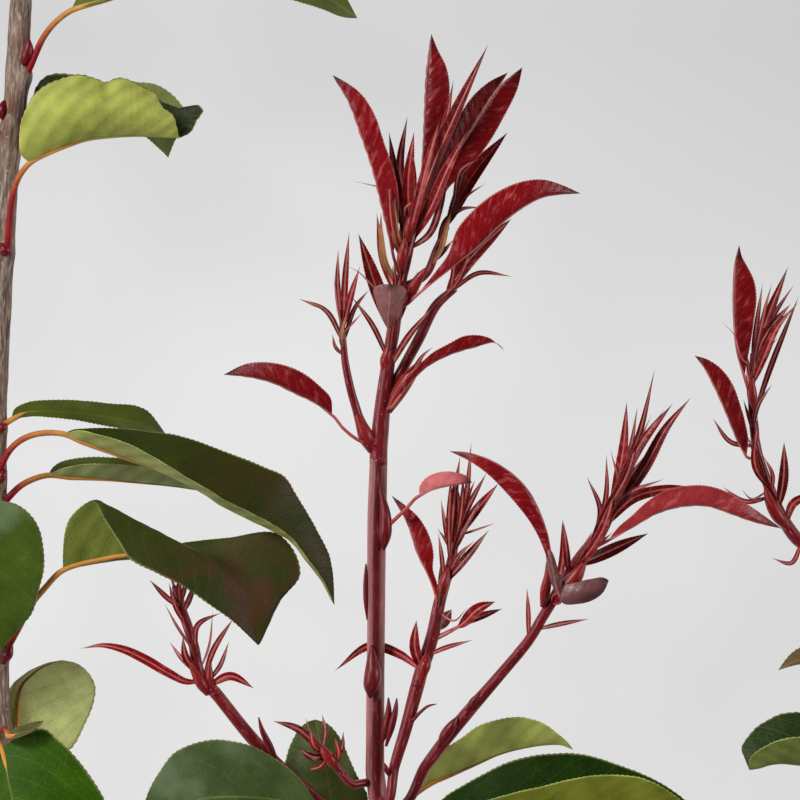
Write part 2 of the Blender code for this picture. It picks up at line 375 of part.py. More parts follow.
# The leafy ends, each with its stem, its twigs and the young leaves that show
MASSES = {
    "centre_mass": Mass("centre_shoot", [
        (-5.5, -5, 50, 2.5), (-4, 8, 52, 2.1), (-1.5, 24, 54, 1.9), (1.5, 42, 55, 1.5),
        (5, 62, 56, 0.8)], twigs=[
        [(-6.2, -15, 49.5, 1.9), (-11, -9, 51, 1.6), (-13, -3, 52, 1.3), (-16, 9, 54, 1.2),
         (-17.6, 27, 56, 0.7)],
        [(-4.8, 0, 50.5, 1.8), (0, 8, 50, 1.6), (6, 19, 50.5, 1.6), (11, 28.5, 51.5, 1.5),
         (16.5, 33.5, 52, 1.1)],
        [(0, 33, 54, 1.4), (8, 38, 54, 1.3), (11, 45, 54, 1.2), (14, 52, 54, 0.9)],
    ], blades=[
        Blade([(-1.5, 43), (-4.5, 64, 62), (-8.5, 79, 66), (-20, 97.5, 66)], 3.8, -20, 22),
        Blade([(4, 52), (8.5, 72, 52), (10.5, 90, 50), (9.3, 110, 48)], 3.8, 20, 24),
        Blade([(2, 48), (10, 70, 62), (17, 86, 70), (26.3, 106, 74)], 2.6, 30, 24),
        Blade([(3.6, 55), (16, 76, 50), (23, 88, 46), (32.5, 99.5, 42)], 4.4, 10, 20),
        Blade([(4, 56), (17.5, 76, 60), (26, 88, 62), (36.8, 99.8, 62)], 3.0, 40, 24),
        Blade([(3, 46), (12, 64, 66), (20.3, 80.5, 72)], 2.0, 20, 20),
        Blade([(14, 52), (21, 66, 53), (32.3, 80.3, 52)], 2.6, 20, 20),
        Blade([(14, 52), (18.5, 66, 58), (21, 77.5, 58)], 0.9, 0, 20),
        Blade([(0, 31), (12, 38.5, 62), (28, 52.5, 66), (42, 59.8, 64), (54.3, 61.6, 58)],
              7.2, (20, 58, 58), 25, 0.2),
        Blade([(14, 31), (20, 41, 50), (33.5, 54.5, 46)], 2.6, 20, 20),
        Blade([(-2.5, 20), (-7, 33, 48), (-12.5, 50, 46)], 2.6, -20, 20),
        Blade([(-0.5, 30), (-5, 42, 50), (-7, 56, 50)], 1.3, 0, 20),
        Blade([(2, 46), (-1, 64, 60), (-3.3, 80.3, 62)], 1.6, 0, 20),
        Blade([(3, 52), (0, 70, 50), (2.2, 85.2, 46)], 1.4, 0, 20),
        Blade([(3, 50), (2.5, 66, 62), (4.2, 80.2, 66)], 1.8, 0, 20),
        Blade([(3, 51), (13, 80, 64), (16, 95.5, 66)], 1.6, 0, 20),
        Blade([(11, 45), (14, 54, 56), (19, 57.3, 58), (24.5, 57.6, 58)], 0.9, 0, 20),
        Blade([(-3, 18), (-3.5, 27, 60), (-3.5, 34.8, 63)], 3.2, 0, 14),
        Blade([(-4, 12), (-8, 22, 56), (-14.5, 31, 58)], 0.9, 0, 20),
        Blade([(-3, 8), (2.5, 19, 57), (10, 28, 60)], 1.1, 0, 20),
        Blade([(-17, 20), (-16.3, 38, 57), (-15.2, 50.2, 58)], 1.1, 0, 20),
        Blade([(-17.6, 22), (-18.7, 36, 56), (-18.5, 45, 55)], 0.9, 0, 20),
        Blade([(-17.2, 21), (-14.2, 33, 60), (-12, 39.8, 62)], 1.1, 0, 20),
        Blade([(-17, 17), (-23, 27.4, 59), (-30, 30.2, 60)], 0.8, 0, 20),
        Blade([(-17, 17), (-13, 28.5, 53), (-9.3, 33, 52)], 0.8, 0, 20),
        Blade([(-9, -12), (-16, -9.8, 54), (-25, -1.3, 58), (-37, 4.4, 58), (-53, 7.4, 52)],
              5.4, (-40, -58, -50), 24, 0.2),
        Blade([(15, 32), (16, 38, 54), (16, 44.5, 56)], 0.9, 0, 20),
        Blade([(15, 32), (23.5, 38, 54), (33.5, 37, 56)], 0.8, 0, 20),
        Blade([(-1, 6), (6, 9.7, 57), (14, 14.3, 60), (24, 17, 60), (31, 15.2, 58)],
              3.0, (0, 20, 0), 20, 0.15),
    ], seeded=12, reach=24),
    "inner_mass": Mass("inner_shoot", [
        (10, -70, 46, 2.0), (12, -60, 46.5, 1.8), (15, -50, 47, 1.5), (18, -34, 47, 0.7)],
        blades=[
        Blade([(15.5, -47), (16, -32, 50), (18, -16.8, 52)], 1.3, 0, 20),
        Blade([(16.5, -42), (19.8, -29, 46), (21.4, -13, 45)], 0.9, 0, 20),
        Blade([(16, -46), (17.5, -34, 51), (17, -25, 53)], 1.5, 0, 20),
        Blade([(14.5, -50), (14.6, -36, 53), (15.5, -21, 55)], 0.9, 0, 20),
        Blade([(17, -40), (21, -31, 42), (26, -22, 40)], 1.0, 0, 20),
        Blade([(17, -42), (22.7, -33.5, 50), (29.5, -25, 52)], 1.6, 20, 20),
        Blade([(14, -55), (20, -47.2, 52), (26.6, -39, 54)], 1.4, 20, 20),
        Blade([(15, -48), (13.6, -38, 44), (12.3, -30, 42)], 0.8, 0, 20),
        Blade([(13, -56), (12.5, -47, 50), (11.5, -40, 51)], 0.8, 0, 20),
        Blade([(11.5, -63), (8.6, -52, 49), (4.6, -38, 48), (-2.0, -28.3, 46.5)], 2.0, -20, 20),
        Blade([(6, -81), (0, -76.3, 40.5), (-9, -73.9, 36), (-19.7, -81.5, 36)], 1.6, 20, 20),
        Blade([(6, -81), (4.4, -74, 49), (4.9, -66, 51)], 1.7, 0, 20),
        Blade([(8, -77), (13, -74.5, 49), (21.6, -72, 50)], 0.8, 0, 20),
        Blade([(10, -72), (17, -68.3, 50), (24, -62.3, 53), (29.8, -61.2, 52)], 1.9, 20, 20),
        Blade([(11, -69), (12.5, -67, 42), (15.5, -63, 36)], 2.0, 0, 20),
    ], seeded=8, reach=15),
    "right_mass": Mass("right_shoot", [
        (43, -65, 45, 1.6), (49, -55, 46, 1.8), (54, -48, 47, 2.2), (60, -40, 48, 1.9),
        (64, -32, 49, 1.4), (68, -22, 50, 0.7)],
        blades=[
        Blade([(38, -72), (38.5, -64, 47), (38.1, -56.5, 48)], 0.8, 0, 20),
        Blade([(40.5, -69), (47, -67.4, 47), (56.6, -65.7, 48)], 0.8, 0, 20),
        Blade([(46, -59), (48.9, -47, 43), (48.8, -36, 41)], 1.2, 0, 20),
        Blade([(47.5, -57), (45, -44, 54), (37.5, -29.5, 60), (27, -19.6, 62), (15, -15.2, 58)],
              2.8, (10, 25, 10), 22, 0.15),
        Blade([(49, -55), (53, -57.3, 52), (58, -56.4, 53), (63.3, -52, 52)], 3.0, 0, 12),
        Blade([(55, -47), (62, -41, 54), (75, -33.6, 58), (95, -30.8, 58), (113, -37, 54)],
              4.6, (20, 50, 30), 24, 0.12),
        Blade([(53, -50), (60, -46.7, 43), (67, -43.5, 41), (74.8, -40, 40)], 2.0, 0, 20),
        Blade([(61, -38), (71, -29, 42), (80, -26.8, 40), (92, -27, 38)], 1.7, 0, 20),
        Blade([(57, -43), (64, -29, 54), (71, -12, 59), (76.2, 9.2, 62)], 1.3, 0, 20),
        Blade([(63, -34), (67, -14, 50), (68, -0.5, 50)], 1.6, 0, 20),
        Blade([(65, -29), (69.5, -13, 45), (71.3, -2, 44)], 0.8, 0, 20),
        Blade([(64, -32), (71, -15.5, 43), (82, -1, 39)], 1.6, 0, 20),
        Blade([(62, -36), (73.5, -20, 56), (80, -8, 59), (87, 0.8, 61)], 2.0, 20, 20),
        Blade([(58, -42), (61.8, -28, 54), (61.8, -16.5, 57)], 0.9, 0, 20),
        Blade([(57, -43), (60, -33, 51), (56, -23, 53)], 0.9, 0, 20),
        Blade([(60, -39), (68, -28.2, 56), (78.8, -23.7, 59)], 0.9, 0, 20),
    ], seeded=9, reach=17),
    "far_right_mass": Mass("far_right_shoot", [
        (120, -42.3, 44, 2.0), (115.5, -36.5, 45, 1.9), (110.5, -25.5, 46, 1.6),
        (107.2, -15, 47, 1.4), (105.5, -2, 48, 1.1), (105.6, 14, 48, 0.6)],
        blades=[
        Blade([(104.8, 0), (102.6, 14, 53), (102.7, 30, 57), (101.5, 46.5, 58)], 3.4, -10, 22),
        Blade([(106.8, -14), (101, -8, 54), (95.3, 4.5, 58), (88, 13.3, 56)], 2.6, -20, 22),
        Blade([(107, -14), (99, -12.5, 50), (93.8, -5.5, 50)], 0.8, 0, 20),
        Blade([(105.3, 8), (109.5, 23, 54), (116.2, 40, 57)], 1.6, 0, 20),
        Blade([(105.5, 10), (112, 25, 43), (118.3, 34.5, 41)], 0.9, 0, 20),
        Blade([(105.4, 12), (107, 25, 60), (108.4, 34.7, 62)], 0.9, 0, 20),
        Blade([(105.4, 10), (110.5, 21, 58), (116.8, 28.7, 61)], 1.8, 20, 20),
        Blade([(106, -6), (111, 9, 43), (120, 31.5, 39)], 1.0, 0, 20),
        Blade([(106.3, -8), (107.5, -1, 54), (111.4, 4.6, 56)], 0.8, 0, 20),
        Blade([(113, -33), (115, -23, 51), (115.1, -12.5, 53)], 1.6, 0, 20),
        Blade([(111, -27), (106.6, -20, 51), (107, -7, 54)], 1.2, 0, 20),
        Blade([(112, -29), (103.5, -30.4, 47), (97, -26.2, 48)], 0.8, 0, 20),
        Blade([(116, -37), (118, -31, 48), (127, -28, 46)], 1.4, 0, 20),
        Blade([(120.5, -43), (117, -49, 48), (111.7, -47.5, 49)], 0.8, 0, 20),
    ], seeded=8, reach=16),
    "left_mass": Mass("left_shoot", [
        (-60, -83, 36.5, 1.9), (-62, -74, 37, 1.6), (-66, -62, 37, 1.3), (-68, -56, 36, 0.8)],
        blades=[
        Blade([(-58, -85), (-67, -83, 39), (-82, -75.2, 42), (-96, -74.6, 40)], 1.7, -20, 20),
        Blade([(-60, -83), (-66, -77.5, 33), (-69.3, -73, 31)], 0.8, 0, 20),
        Blade([(-60, -83), (-64.5, -77, 40), (-65.3, -71, 41)], 1.3, 0, 20),
        Blade([(-66, -63), (-70, -59.5, 38), (-75.3, -54.2, 37)], 0.9, 0, 20),
        Blade([(-64, -69), (-67.5, -62, 39), (-69.5, -55, 38)], 0.9, 0, 20),
        Blade([(-61, -78), (-60.6, -67.4, 40), (-54, -64, 39)], 1.0, 0, 20),
        Blade([(-59, -84), (-56, -75, 40), (-50, -65.5, 39)], 1.0, 0, 20),
        Blade([(-58, -85), (-54.2, -80, 39), (-51.5, -72.8, 38)], 0.8, 0, 20),
        Blade([(-57.5, -86), (-51, -83, 39), (-43.9, -86.7, 38)], 1.4, 0, 20),
    ], seeded=5, reach=9),
    "low_mass": Mass("low_shoot", [
        (-21.5, -107.5, 44, 1.3), (-25, -103.5, 44.5, 1.1), (-27.5, -99.5, 44.5, 0.7)],
        blades=[
        Blade([(-24, -104.5), (-31, -98.5, 47), (-38, -96.3, 48)], 1.3, 0, 20),
        Blade([(-23, -105), (-22.5, -99, 43), (-23.4, -94.5, 42)], 0.8, 0, 20),
        Blade([(-21, -108), (-17.5, -104.5, 48), (-17, -99.5, 50)], 0.9, 0, 20),
        Blade([(-22, -107), (-26.5, -107, 48), (-30.5, -104.5, 49)], 1.3, 0, 20),
    ], seeded=3, reach=6),
    "top_mass": Mass("main_stem", [
        (-110.3, 174, 45, 2.0), (-108.5, 184, 44, 1.6), (-106, 200, 43, 0.7)],
        seeded=16, reach=30),
}


def smooth(points):
    """A fine line of evenly spaced points along a smooth curve through the given ones."""
    given = np.array(points, dtype=float)
    steps = np.linalg.norm(np.diff(given[:, :3], axis=0), axis=1)
    along = np.concatenate(([0.0], np.cumsum(steps)))
    slopes = np.gradient(given, along, axis=0)
    fine = np.linspace(0.0, along[-1], 2 * FINE)
    piece = np.clip(np.searchsorted(along, fine, side="right") - 1, 0, len(given) - 2)
    width = steps[piece][:, None]
    t = ((fine - along[piece]) / steps[piece])[:, None]
    curve = (
        (2 * t**3 - 3 * t**2 + 1) * given[piece]
        + (t**3 - 2 * t**2 + t) * width * slopes[piece]
        + (3 * t**2 - 2 * t**3) * given[piece + 1]
        + (t**3 - t**2) * width * slopes[piece + 1]
    )
    steps = np.linalg.norm(np.diff(curve[:, :3], axis=0), axis=1)
    run = np.concatenate(([0.0], np.cumsum(steps)))
    wanted = np.linspace(0.0, run[-1], FINE)
    return np.stack([np.interp(wanted, run, column) for column in curve.T], axis=1)


def pick(rows, shares):
    """Rows of a fine line, or of anything along it, at the given shares of its length."""
    places = np.linspace(0.0, 1.0, len(rows))
    return np.stack([np.interp(shares, places, column) for column in rows.T], axis=1)


def refine(coarse):
    """The straight runs between coarse points, as a fine line of evenly spaced points."""
    steps = np.linalg.norm(np.diff(coarse[:, :3], axis=0), axis=1)
    run = np.concatenate(([0.0], np.cumsum(steps)))
    wanted = np.linspace(0.0, run[-1], 2 * FINE)
    return np.stack([np.interp(wanted, run, column) for column in coarse.T], axis=1)


def base_shares(line, count):
    """Even shares along a line, after a first short one that leaves its carrier squarely."""
    first = BASE_RUN / length_of(line)
    return np.concatenate(([0.0], np.linspace(first, 1.0, count - 1)))


def length_of(points):
    """The length of a line through points."""
    route = np.array(points, dtype=float)[:, :3]
    return float(np.linalg.norm(np.diff(route, axis=0), axis=1).sum())


def unit(vector):
    """A vector, or rows of them, at length one."""
    return vector / np.linalg.norm(vector, axis=-1, keepdims=True)


def surface_start(line, toward):
    """Where a side piece starts on a limb: just clear of its surface, facing a point."""
    target = np.array(toward, dtype=float)
    nearest = int(np.argmin(np.linalg.norm(line[:, :3] - target, axis=1)))
    tangent = unit(np.gradient(line[:, :3], axis=0)[nearest])
    out = target - line[nearest, :3]
    out = unit(out - tangent * out.dot(tangent))
    start = line[nearest, :3] + out * (line[nearest, 3] + GAP)
    return start, out


def make_material(finish):
    """The material of one kind of surface."""
    if finish in bpy.data.materials:
        return bpy.data.materials[finish]
    colour, roughness = COLOURS[finish]
    material = bpy.data.materials.new(finish)
    material.use_nodes = True
    shader = material.node_tree.nodes["Principled BSDF"]
    shader.inputs["Base Color"].default_value = colour
    shader.inputs["Roughness"].default_value = roughness
    shader.inputs["Metallic"].default_value = 0.0
    return material


def add_object(name, data, finish, collection):
    """An object in a collection, with its own material."""
    made = bpy.data.objects.new(name, data)
    material = make_material(finish).copy()
    material.name = name + "_surface"
    data.materials.append(material)
    collection.objects.link(made)
    return made


def make_tube(name, line, finish, collection, sides):
    """A limb as a curve with a round bevel that follows the radius of each point."""
    curve = bpy.data.curves.new(name, "CURVE")
    curve.dimensions = "3D"
    curve.bevel_depth = MM
    curve.bevel_resolution = sides
    curve.use_fill_caps = True
    spline = curve.splines.new("POLY")
    spline.points.add(len(line) - 1)
    for point, (x, y, z, radius) in zip(spline.points, line):
        point.co = (x * MM, y * MM, z * MM, 1.0)
        point.radius = radius
    return add_object(name, curve, finish, collection)


def as_mesh(made, collection):
    """The mesh of a curve object in its place, with its caps welded on."""
    shown = made.evaluated_get(bpy.context.evaluated_depsgraph_get())
    mesh = bpy.data.meshes.new_from_object(shown)
    work = bmesh.new()
    work.from_mesh(mesh)
    bmesh.ops.remove_doubles(work, verts=work.verts, dist=0.000001)
    work.to_mesh(mesh)
    work.free()
    solid = bpy.data.objects.new(made.name + "_solid", mesh)
    solid.matrix_world = made.matrix_world
    collection.objects.link(solid)
    curve = made.data
    bpy.data.objects.remove(made)
    bpy.data.curves.remove(curve)
    return solid


def leaf_rings(blade, way, along, sides):
    """Sections of a leaf: a round stalk that opens into a folded blade, then the tip."""
    fine = smooth(way)
    line = pick(fine, along)
    rings = len(along)
    tangent = unit(pick(np.gradient(fine, axis=0), along))
    side = unit(np.cross((0.0, 0.0, 1.0), tangent))
    up = np.cross(tangent, side)
    roll = np.radians(np.interp(along, (0.0, 0.5, 1.0), blade.roll))[:, None]
    face = np.cos(roll) * up + np.sin(roll) * side
    side = np.cos(roll) * side - np.sin(roll) * up
    share = np.clip((along - blade.stalk) / (1.0 - blade.stalk), 0.0, 1.0)
    wide = blade.half_width * np.sin(np.pi * share**0.86) ** 0.8
    if blade.half_width < YOUNG_WIDTH:
        thick = YOUNG_THICKNESS + 0.09 * wide
    else:
        thick = 0.5 * LEAF_THICKNESS * (1 - 0.5 * share**2)
    stalk = min(STALK_RADIUS, 0.45 * blade.half_width)
    open_up = np.clip(wide / (1.6 * stalk), 0.0, 1.0)
    turn = np.linspace(math.pi, -math.pi, sides, endpoint=False)
    fold = math.radians(blade.fold)
    across = np.cos(turn)
    edge = 1.0 - np.abs(across)
    flat_x = np.outer(wide, across * math.cos(fold))
    lift = np.outer(wide, np.abs(across) * math.sin(fold))
    body = np.outer(thick * np.ones(rings), np.sign(np.round(np.sin(turn), 6)) * edge**0.4)
    narrow = np.interp(along, (0.0, blade.stalk + 0.01, 1.0), (1.0, 0.9, 0.18)) * stalk
    round_x = np.outer(narrow, across)
    round_y = np.outer(narrow, np.sin(turn))
    mix = open_up[:, None]
    x = round_x * (1 - mix) + flat_x * mix
    y = round_y * (1 - mix) + (lift + body) * mix
    return line[:, None, :] + side[:, None, :] * x[:, :, None] + face[:, None, :] * y[:, :, None]


def led_sheet(led, shares, across):
    """The middle surface of a led leaf: at each share along, a smooth curve through its lines."""
    lines = np.stack([pick(smooth(guide), shares) for guide in led.guides])
    places = np.linspace(-1.0, 1.0, len(lines))
    slopes = np.gradient(lines, places, axis=0)
    piece = np.clip(np.searchsorted(places, across, side="right") - 1, 0, len(lines) - 2)
    width = places[1] - places[0]
    t = ((across - places[piece]) / width)[:, None, None]
    curve = (
        (2 * t**3 - 3 * t**2 + 1) * lines[piece]
        + (t**3 - 2 * t**2 + t) * width * slopes[piece]
        + (3 * t**2 - 2 * t**3) * lines[piece + 1]
        + (t**3 - t**2) * width * slopes[piece + 1]
    )
    return curve.transpose(1, 0, 2)


def led_rings(led, start, out, sides):
    """Sections of a led leaf: a round stalk that opens into its sheet, then the tip."""
    shares = np.linspace(0.0, 1.0, LED_RINGS)
    inner = np.clip(shares, EDGE_SHARE, 1.0 - EDGE_SHARE)
    turn = np.linspace(math.pi, -math.pi, sides, endpoint=False)
    across = np.cos(turn)
    rows = led_sheet(led, shares, across)
    rib = led_sheet(led, shares, np.zeros(1))
    step = 2.0 * EDGE_SHARE
    left = led_sheet(led, inner, np.clip(across - step, -1.0, 1.0))
    right = led_sheet(led, inner, np.clip(across + step, -1.0, 1.0))
    tangent = unit(np.gradient(rib[:, 0], axis=0))
    normal = unit(np.cross(tangent[:, None, :], right - left))
    middle = led_sheet(led, inner, np.array((-step, step)))
    side = middle[:, 1] - middle[:, 0]
    side = unit(side - tangent * (side * tangent).sum(axis=1, keepdims=True))
    edges = led_sheet(led, shares, np.array((-1.0, 1.0)))
    wide = np.linalg.norm(edges - rib, axis=-1).min(axis=1)
    open_up = np.clip(wide / (1.6 * STALK_RADIUS), 0.0, 1.0)[:, None, None]
    thick = 0.5 * LEAF_THICKNESS * (1.0 - 0.5 * shares**2)
    body = np.outer(thick, np.sign(np.round(np.sin(turn), 6)) * (1.0 - np.abs(across)) ** 0.4)
    narrow = STALK_RADIUS * (0.9 - 0.7 * shares)
    blade = rows + normal * body[..., None]
    blade = blade * open_up + round_rings(rib[:, 0], tangent, side, narrow, turn) * (1.0 - open_up)
    line = smooth([tuple(start), tuple(start + out * BASE_RUN), *led.stalk[1:]])
    line = pick(line, base_shares(line, STALK_RINGS))[:-1]
    along = unit(np.gradient(line, axis=0))
    side = side[1] - along * (along * side[1]).sum(axis=1, keepdims=True)
    stalk = round_rings(line, along, unit(side), np.full(len(line), STALK_RADIUS), turn)
    return np.concatenate((stalk, blade))


def round_rings(line, tangent, side, radius, turn):
    """Round sections along a line, each started from its side vector."""
    up = np.cross(tangent, side)
    circle = side[:, None, :] * np.cos(turn)[:, None] + up[:, None, :] * np.sin(turn)[:, None]
    return line[:, None, :] + circle * radius[:, None, None]


def loft(name, rings):
    """A closed mesh through sections that have the same number of points."""
    count, sides = rings.shape[:2]
    work = bmesh.new()
    rows = [[work.verts.new(point * MM) for point in ring] for ring in rings]
    for first, second in zip(rows, rows[1:]):
        for k in range(sides):
            following = (k + 1) % sides
            work.faces.new((first[k], first[following], second[following], second[k]))
    work.faces.new(rows[0][::-1])
    work.faces.new(rows[-1])
    bmesh.ops.recalc_face_normals(work, faces=work.faces)
    mesh = bpy.data.meshes.new(name)
    work.to_mesh(mesh)
    work.free()
    return mesh


def outer_way(line, share, heading, length, crest, tip_height):
    """The way of a leaf beyond the view: out of its limb, over its crest and down."""
    start = line[int(round(share * (len(line) - 1)))]
    turn = math.radians(heading)
    run = np.array((math.cos(turn), math.sin(turn)))
    shares = np.array((0.1, 0.3, 0.55, 0.8, 1.0))
    heights = start[2] + crest * np.array((0.35, 0.9, 1.0, 0.6, 0.0))
    heights[3] = 0.5 * (heights[2] + tip_height)
    heights[4] = tip_height
    flat = start[:2] + np.outer(shares * length, run)
    return [(x, y, z) for (x, y), z in zip(flat, heights)]


def nearest_on(lines, spot):
    """The point on any of the lines that lies under a spot of the view, off its foot."""
    clear = int(FINE * ROOT_CLEAR / length_of(lines[0])) + 1
    best = min(
        ((np.hypot(line[:, 0] - spot[0], line[:, 1] - spot[1]).min(), k)
         for k, line in enumerate(lines)),
    )[1]
    line = lines[best]
    index = int(np.argmin(np.hypot(line[:, 0] - spot[0], line[:, 1] - spot[1])))
    return tuple(line[max(index, clear), :3])


def seeded_blades(stem, count, reach, draw):
    """Young leaves set round a stem, rising along it and out to the front and back."""
    blades = []
    tangent = unit(np.gradient(stem[:, :3], axis=0))
    for k in range(count):
        share = 0.35 + 0.62 * (k + 0.5) / count
        index = int(share * (len(stem) - 1))
        along = tangent[index]
        side = unit(np.cross((0.0, 0.0, 1.0), along))
        front = np.cross(along, side)
        turn = math.radians(137.5 * k + draw.uniform(-15, 15))
        out = 0.45 * math.sin(turn) * side + math.cos(turn) * front
        long = reach * draw.uniform(0.7, 1.0)
        root = stem[index, :3]
        middle = root + along * (0.5 * long) + out * (0.22 * long)
        tip = root + along * long + out * (0.5 * long)
        blades.append(Blade([tuple(root), tuple(middle), tuple(tip)],
                            0.055 * long, math.degrees(turn) * 0.3 % 60 - 30, 22))
    return blades


def make_mass(name, mass, limb_line, collection, draw):
    """One leafy end: its stem and twigs, with every young leaf fused on."""
    step = unit(limb_line[-1, :3] - limb_line[-2, :3])
    foot = limb_line[-1, :3] + step * GAP
    end_radius = limb_line[-1, 3]
    stem = [tuple(foot) + (end_radius,), tuple(foot + step * BASE_RUN) + (end_radius,)]
    stem += mass.stem
    lines = [smooth(stem)]
    shares = base_shares(lines[0], max(4, round(length_of(stem) / TWIG_STEP)))
    stem_line = pick(lines[0], shares)
    pieces = []
    body = as_mesh(make_tube(name + "_stem", stem_line, "red_leaf", collection, LIMB_SIDES), collection)
    for k, twig in enumerate(mass.twigs):
        lines.append(smooth(twig))
        shares = np.linspace(0.0, 1.0, max(3, round(length_of(twig) / TWIG_STEP)))
        twig_line = pick(lines[-1], shares)
        tube = make_tube(f"{name}_twig_{k}", twig_line, "red_leaf", collection, TWIG_SIDES)
        pieces.append(as_mesh(tube, collection))
    blades = list(mass.blades) + seeded_blades(lines[0], mass.seeded, mass.reach, draw)
    for k, blade in enumerate(blades):
        way = [nearest_on(lines, blade.way[0])] + [tuple(point) for point in blade.way[1:]]
        rings = min(7, max(4, 2 + round(length_of(way) / YOUNG_RING_STEP)))
        shares = np.linspace(0.0, 1.0, rings)
        mesh = loft(f"{name}_leaf_{k}", leaf_rings(blade, way, shares, 4))
        leaf = bpy.data.objects.new(mesh.name, mesh)
        collection.objects.link(leaf)
        pieces.append(leaf)
    fuse(name, body, pieces, collection)


def fuse(name, body, pieces, collection):
    """Join the pieces to the body by one union on their collection."""
    group = bpy.data.collections.new(name + "_pieces")
    bpy.context.scene.collection.children.link(group)
    for piece in pieces:
        collection.objects.unlink(piece)
        group.objects.link(piece)
    union = body.modifiers.new("join", "BOOLEAN")
    union.operation = "UNION"
    union.operand_type = "COLLECTION"
    union.collection = group
    union.solver = "MANIFOLD"
    shown = body.evaluated_get(bpy.context.evaluated_depsgraph_get())
    mesh = bpy.data.meshes.new_from_object(shown)
    mesh.materials.clear()
    for piece in [*pieces, body]:
        bpy.data.objects.remove(piece)
    bpy.data.collections.remove(group)
    keep_outer_shell(mesh)
    mesh.name = name
    add_object(name, mesh, "red_leaf", collection)


def keep_outer_shell(mesh):
    """Fill the hollows that fusing sealed, and drop loose scraps: keep the largest shell."""
    work = bmesh.new()
    work.from_mesh(mesh)
    unseen = set(work.faces)
    shells = []
    while unseen:
        front = [unseen.pop()]
        shell = []
        while front:
            face = front.pop()
            shell.append(face)
            near = {other for edge in face.edges for other in edge.link_faces} & unseen
            unseen -= near
            front.extend(near)
        shells.append(shell)
    shells.sort(key=len)
    for shell in shells[:-1]:
        bmesh.ops.delete(work, geom=shell, context="FACES")
    loose = [vertex for vertex in work.verts if not vertex.link_faces]
    bmesh.ops.delete(work, geom=loose, context="VERTS")
    work.to_mesh(mesh)
    work.free()


def limb_lines(limbs):
    """Every limb's line of coarse points, with its foot on the limb that carries it."""
    lines = {}
    for name, limb in limbs.items():
        route = list(limb.route)
        if limb.parent:
            carrier = refine(lines[limb.parent])
            step = unit(carrier[-1, :3] - carrier[-2, :3])
            ahead = np.array(route[0][:3]) - carrier[-1, :3]
            if ahead.dot(step) > 0.85 * np.linalg.norm(ahead):
                start, out, radius = carrier[-1, :3] + step * GAP, step, carrier[-1, 3]
            else:
                start, out = surface_start(carrier, route[0][:3])
                radius = route[0][3]
            route.insert(0, tuple(start + out * BASE_RUN) + (radius,))
            route.insert(0, tuple(start) + (radius,))
        fine = smooth(route)
        lines[name] = pick(fine, base_shares(fine, max(4, round(length_of(fine) / LIMB_STEP))))
    return lines


def make_limbs(limbs, lines, collection):
    """The stem, the boughs and the bare part of each shoot."""
    for name, limb in limbs.items():
        make_tube(name, lines[name], limb.finish, collection, LIMB_SIDES)


def make_led_leaf(name, led, line, collection):
    """An old leaf that shows, led by its lines, on a stalk just clear of its limb."""
    start, out = surface_start(refine(line), led.stalk[0])
    add_object(name, loft(name, led_rings(led, start, out, 8)), "green_leaf", collection)


def make_leaf(name, blade, line, finish, sides, collection):
    """A leaf along one way that starts just clear of its limb."""
    start, out = surface_start(refine(line), blade.way[0])
    way = [tuple(start), tuple(start + out * BASE_RUN)] + list(blade.way[1:])
    mesh = loft(name, leaf_rings(blade, way, base_shares(way, LEAF_RINGS), sides))
    add_object(name, mesh, finish, collection)


def make_leaves(lines, collection):
    """The old leaves that show, and those beyond the view."""
    for name, (limb, led) in LEAVES.items():
        make_led_leaf(name, led, lines[limb], collection)
    make_leaf("shoot_leaf", SHOOT_LEAF, lines["centre_shoot"], "red_leaf", 8, collection)
    for name, (limb, share, heading, length, crest, tip_height, half, roll) in OUTER_LEAVES.items():
        way = outer_way(refine(lines[limb]), share, heading, length, crest, tip_height)
        make_leaf(name, Blade(way, half, roll, 16, 0.18), lines[limb], "green_leaf", 4, collection)


def settle(collection):
    """Hang everything on one empty, moved so that the box stands on the origin."""
    low = np.full(3, math.inf)
    high = np.full(3, -math.inf)
    graph = bpy.context.evaluated_depsgraph_get()
    for made in collection.objects:
        shown = made.evaluated_get(graph)
        mesh = shown.to_mesh()
        points = np.empty(3 * len(mesh.vertices))
        mesh.vertices.foreach_get("co", points)
        points = points.reshape(-1, 3)
        low = np.minimum(low, points.min(axis=0))
        high = np.maximum(high, points.max(axis=0))
        shown.to_mesh_clear()
    centre = bpy.data.objects.new("branch_place", None)
    centre.location = (-(low[0] + high[0]) / 2, -(low[1] + high[1]) / 2, -low[2])
    parts = list(collection.objects)
    collection.objects.link(centre)
    for made in parts:
        made.parent = centre


def main():
    """Build the branch from its limbs out to its leaves."""
    for made in list(bpy.data.objects):
        bpy.data.objects.remove(made)
    collection = bpy.data.collections.new("photinia_branch")
    bpy.context.scene.collection.children.link(collection)
    draw = random.Random(SEED)
    lines = limb_lines(LIMBS)
    make_limbs(LIMBS, lines, collection)
    make_leaves(lines, collection)
    for name, mass in MASSES.items():
        make_mass(name, mass, lines[mass.limb], collection, draw)
    settle(collection)


main()
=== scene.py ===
"""The looks of a cut photinia branch that lies on a pale floor.

Lengths in the data are millimetres in the view from above: X to the right and Y up
from the middle of that view, and Z the height above the floor. The cut end of the
main stem gives the place of that view in the frame, where lengths are metres.
"""

import itertools
import json
import logging
import math
import random
from dataclasses import dataclass, field, replace
from enum import Enum

import bpy
import numpy as np
from mathutils import Matrix

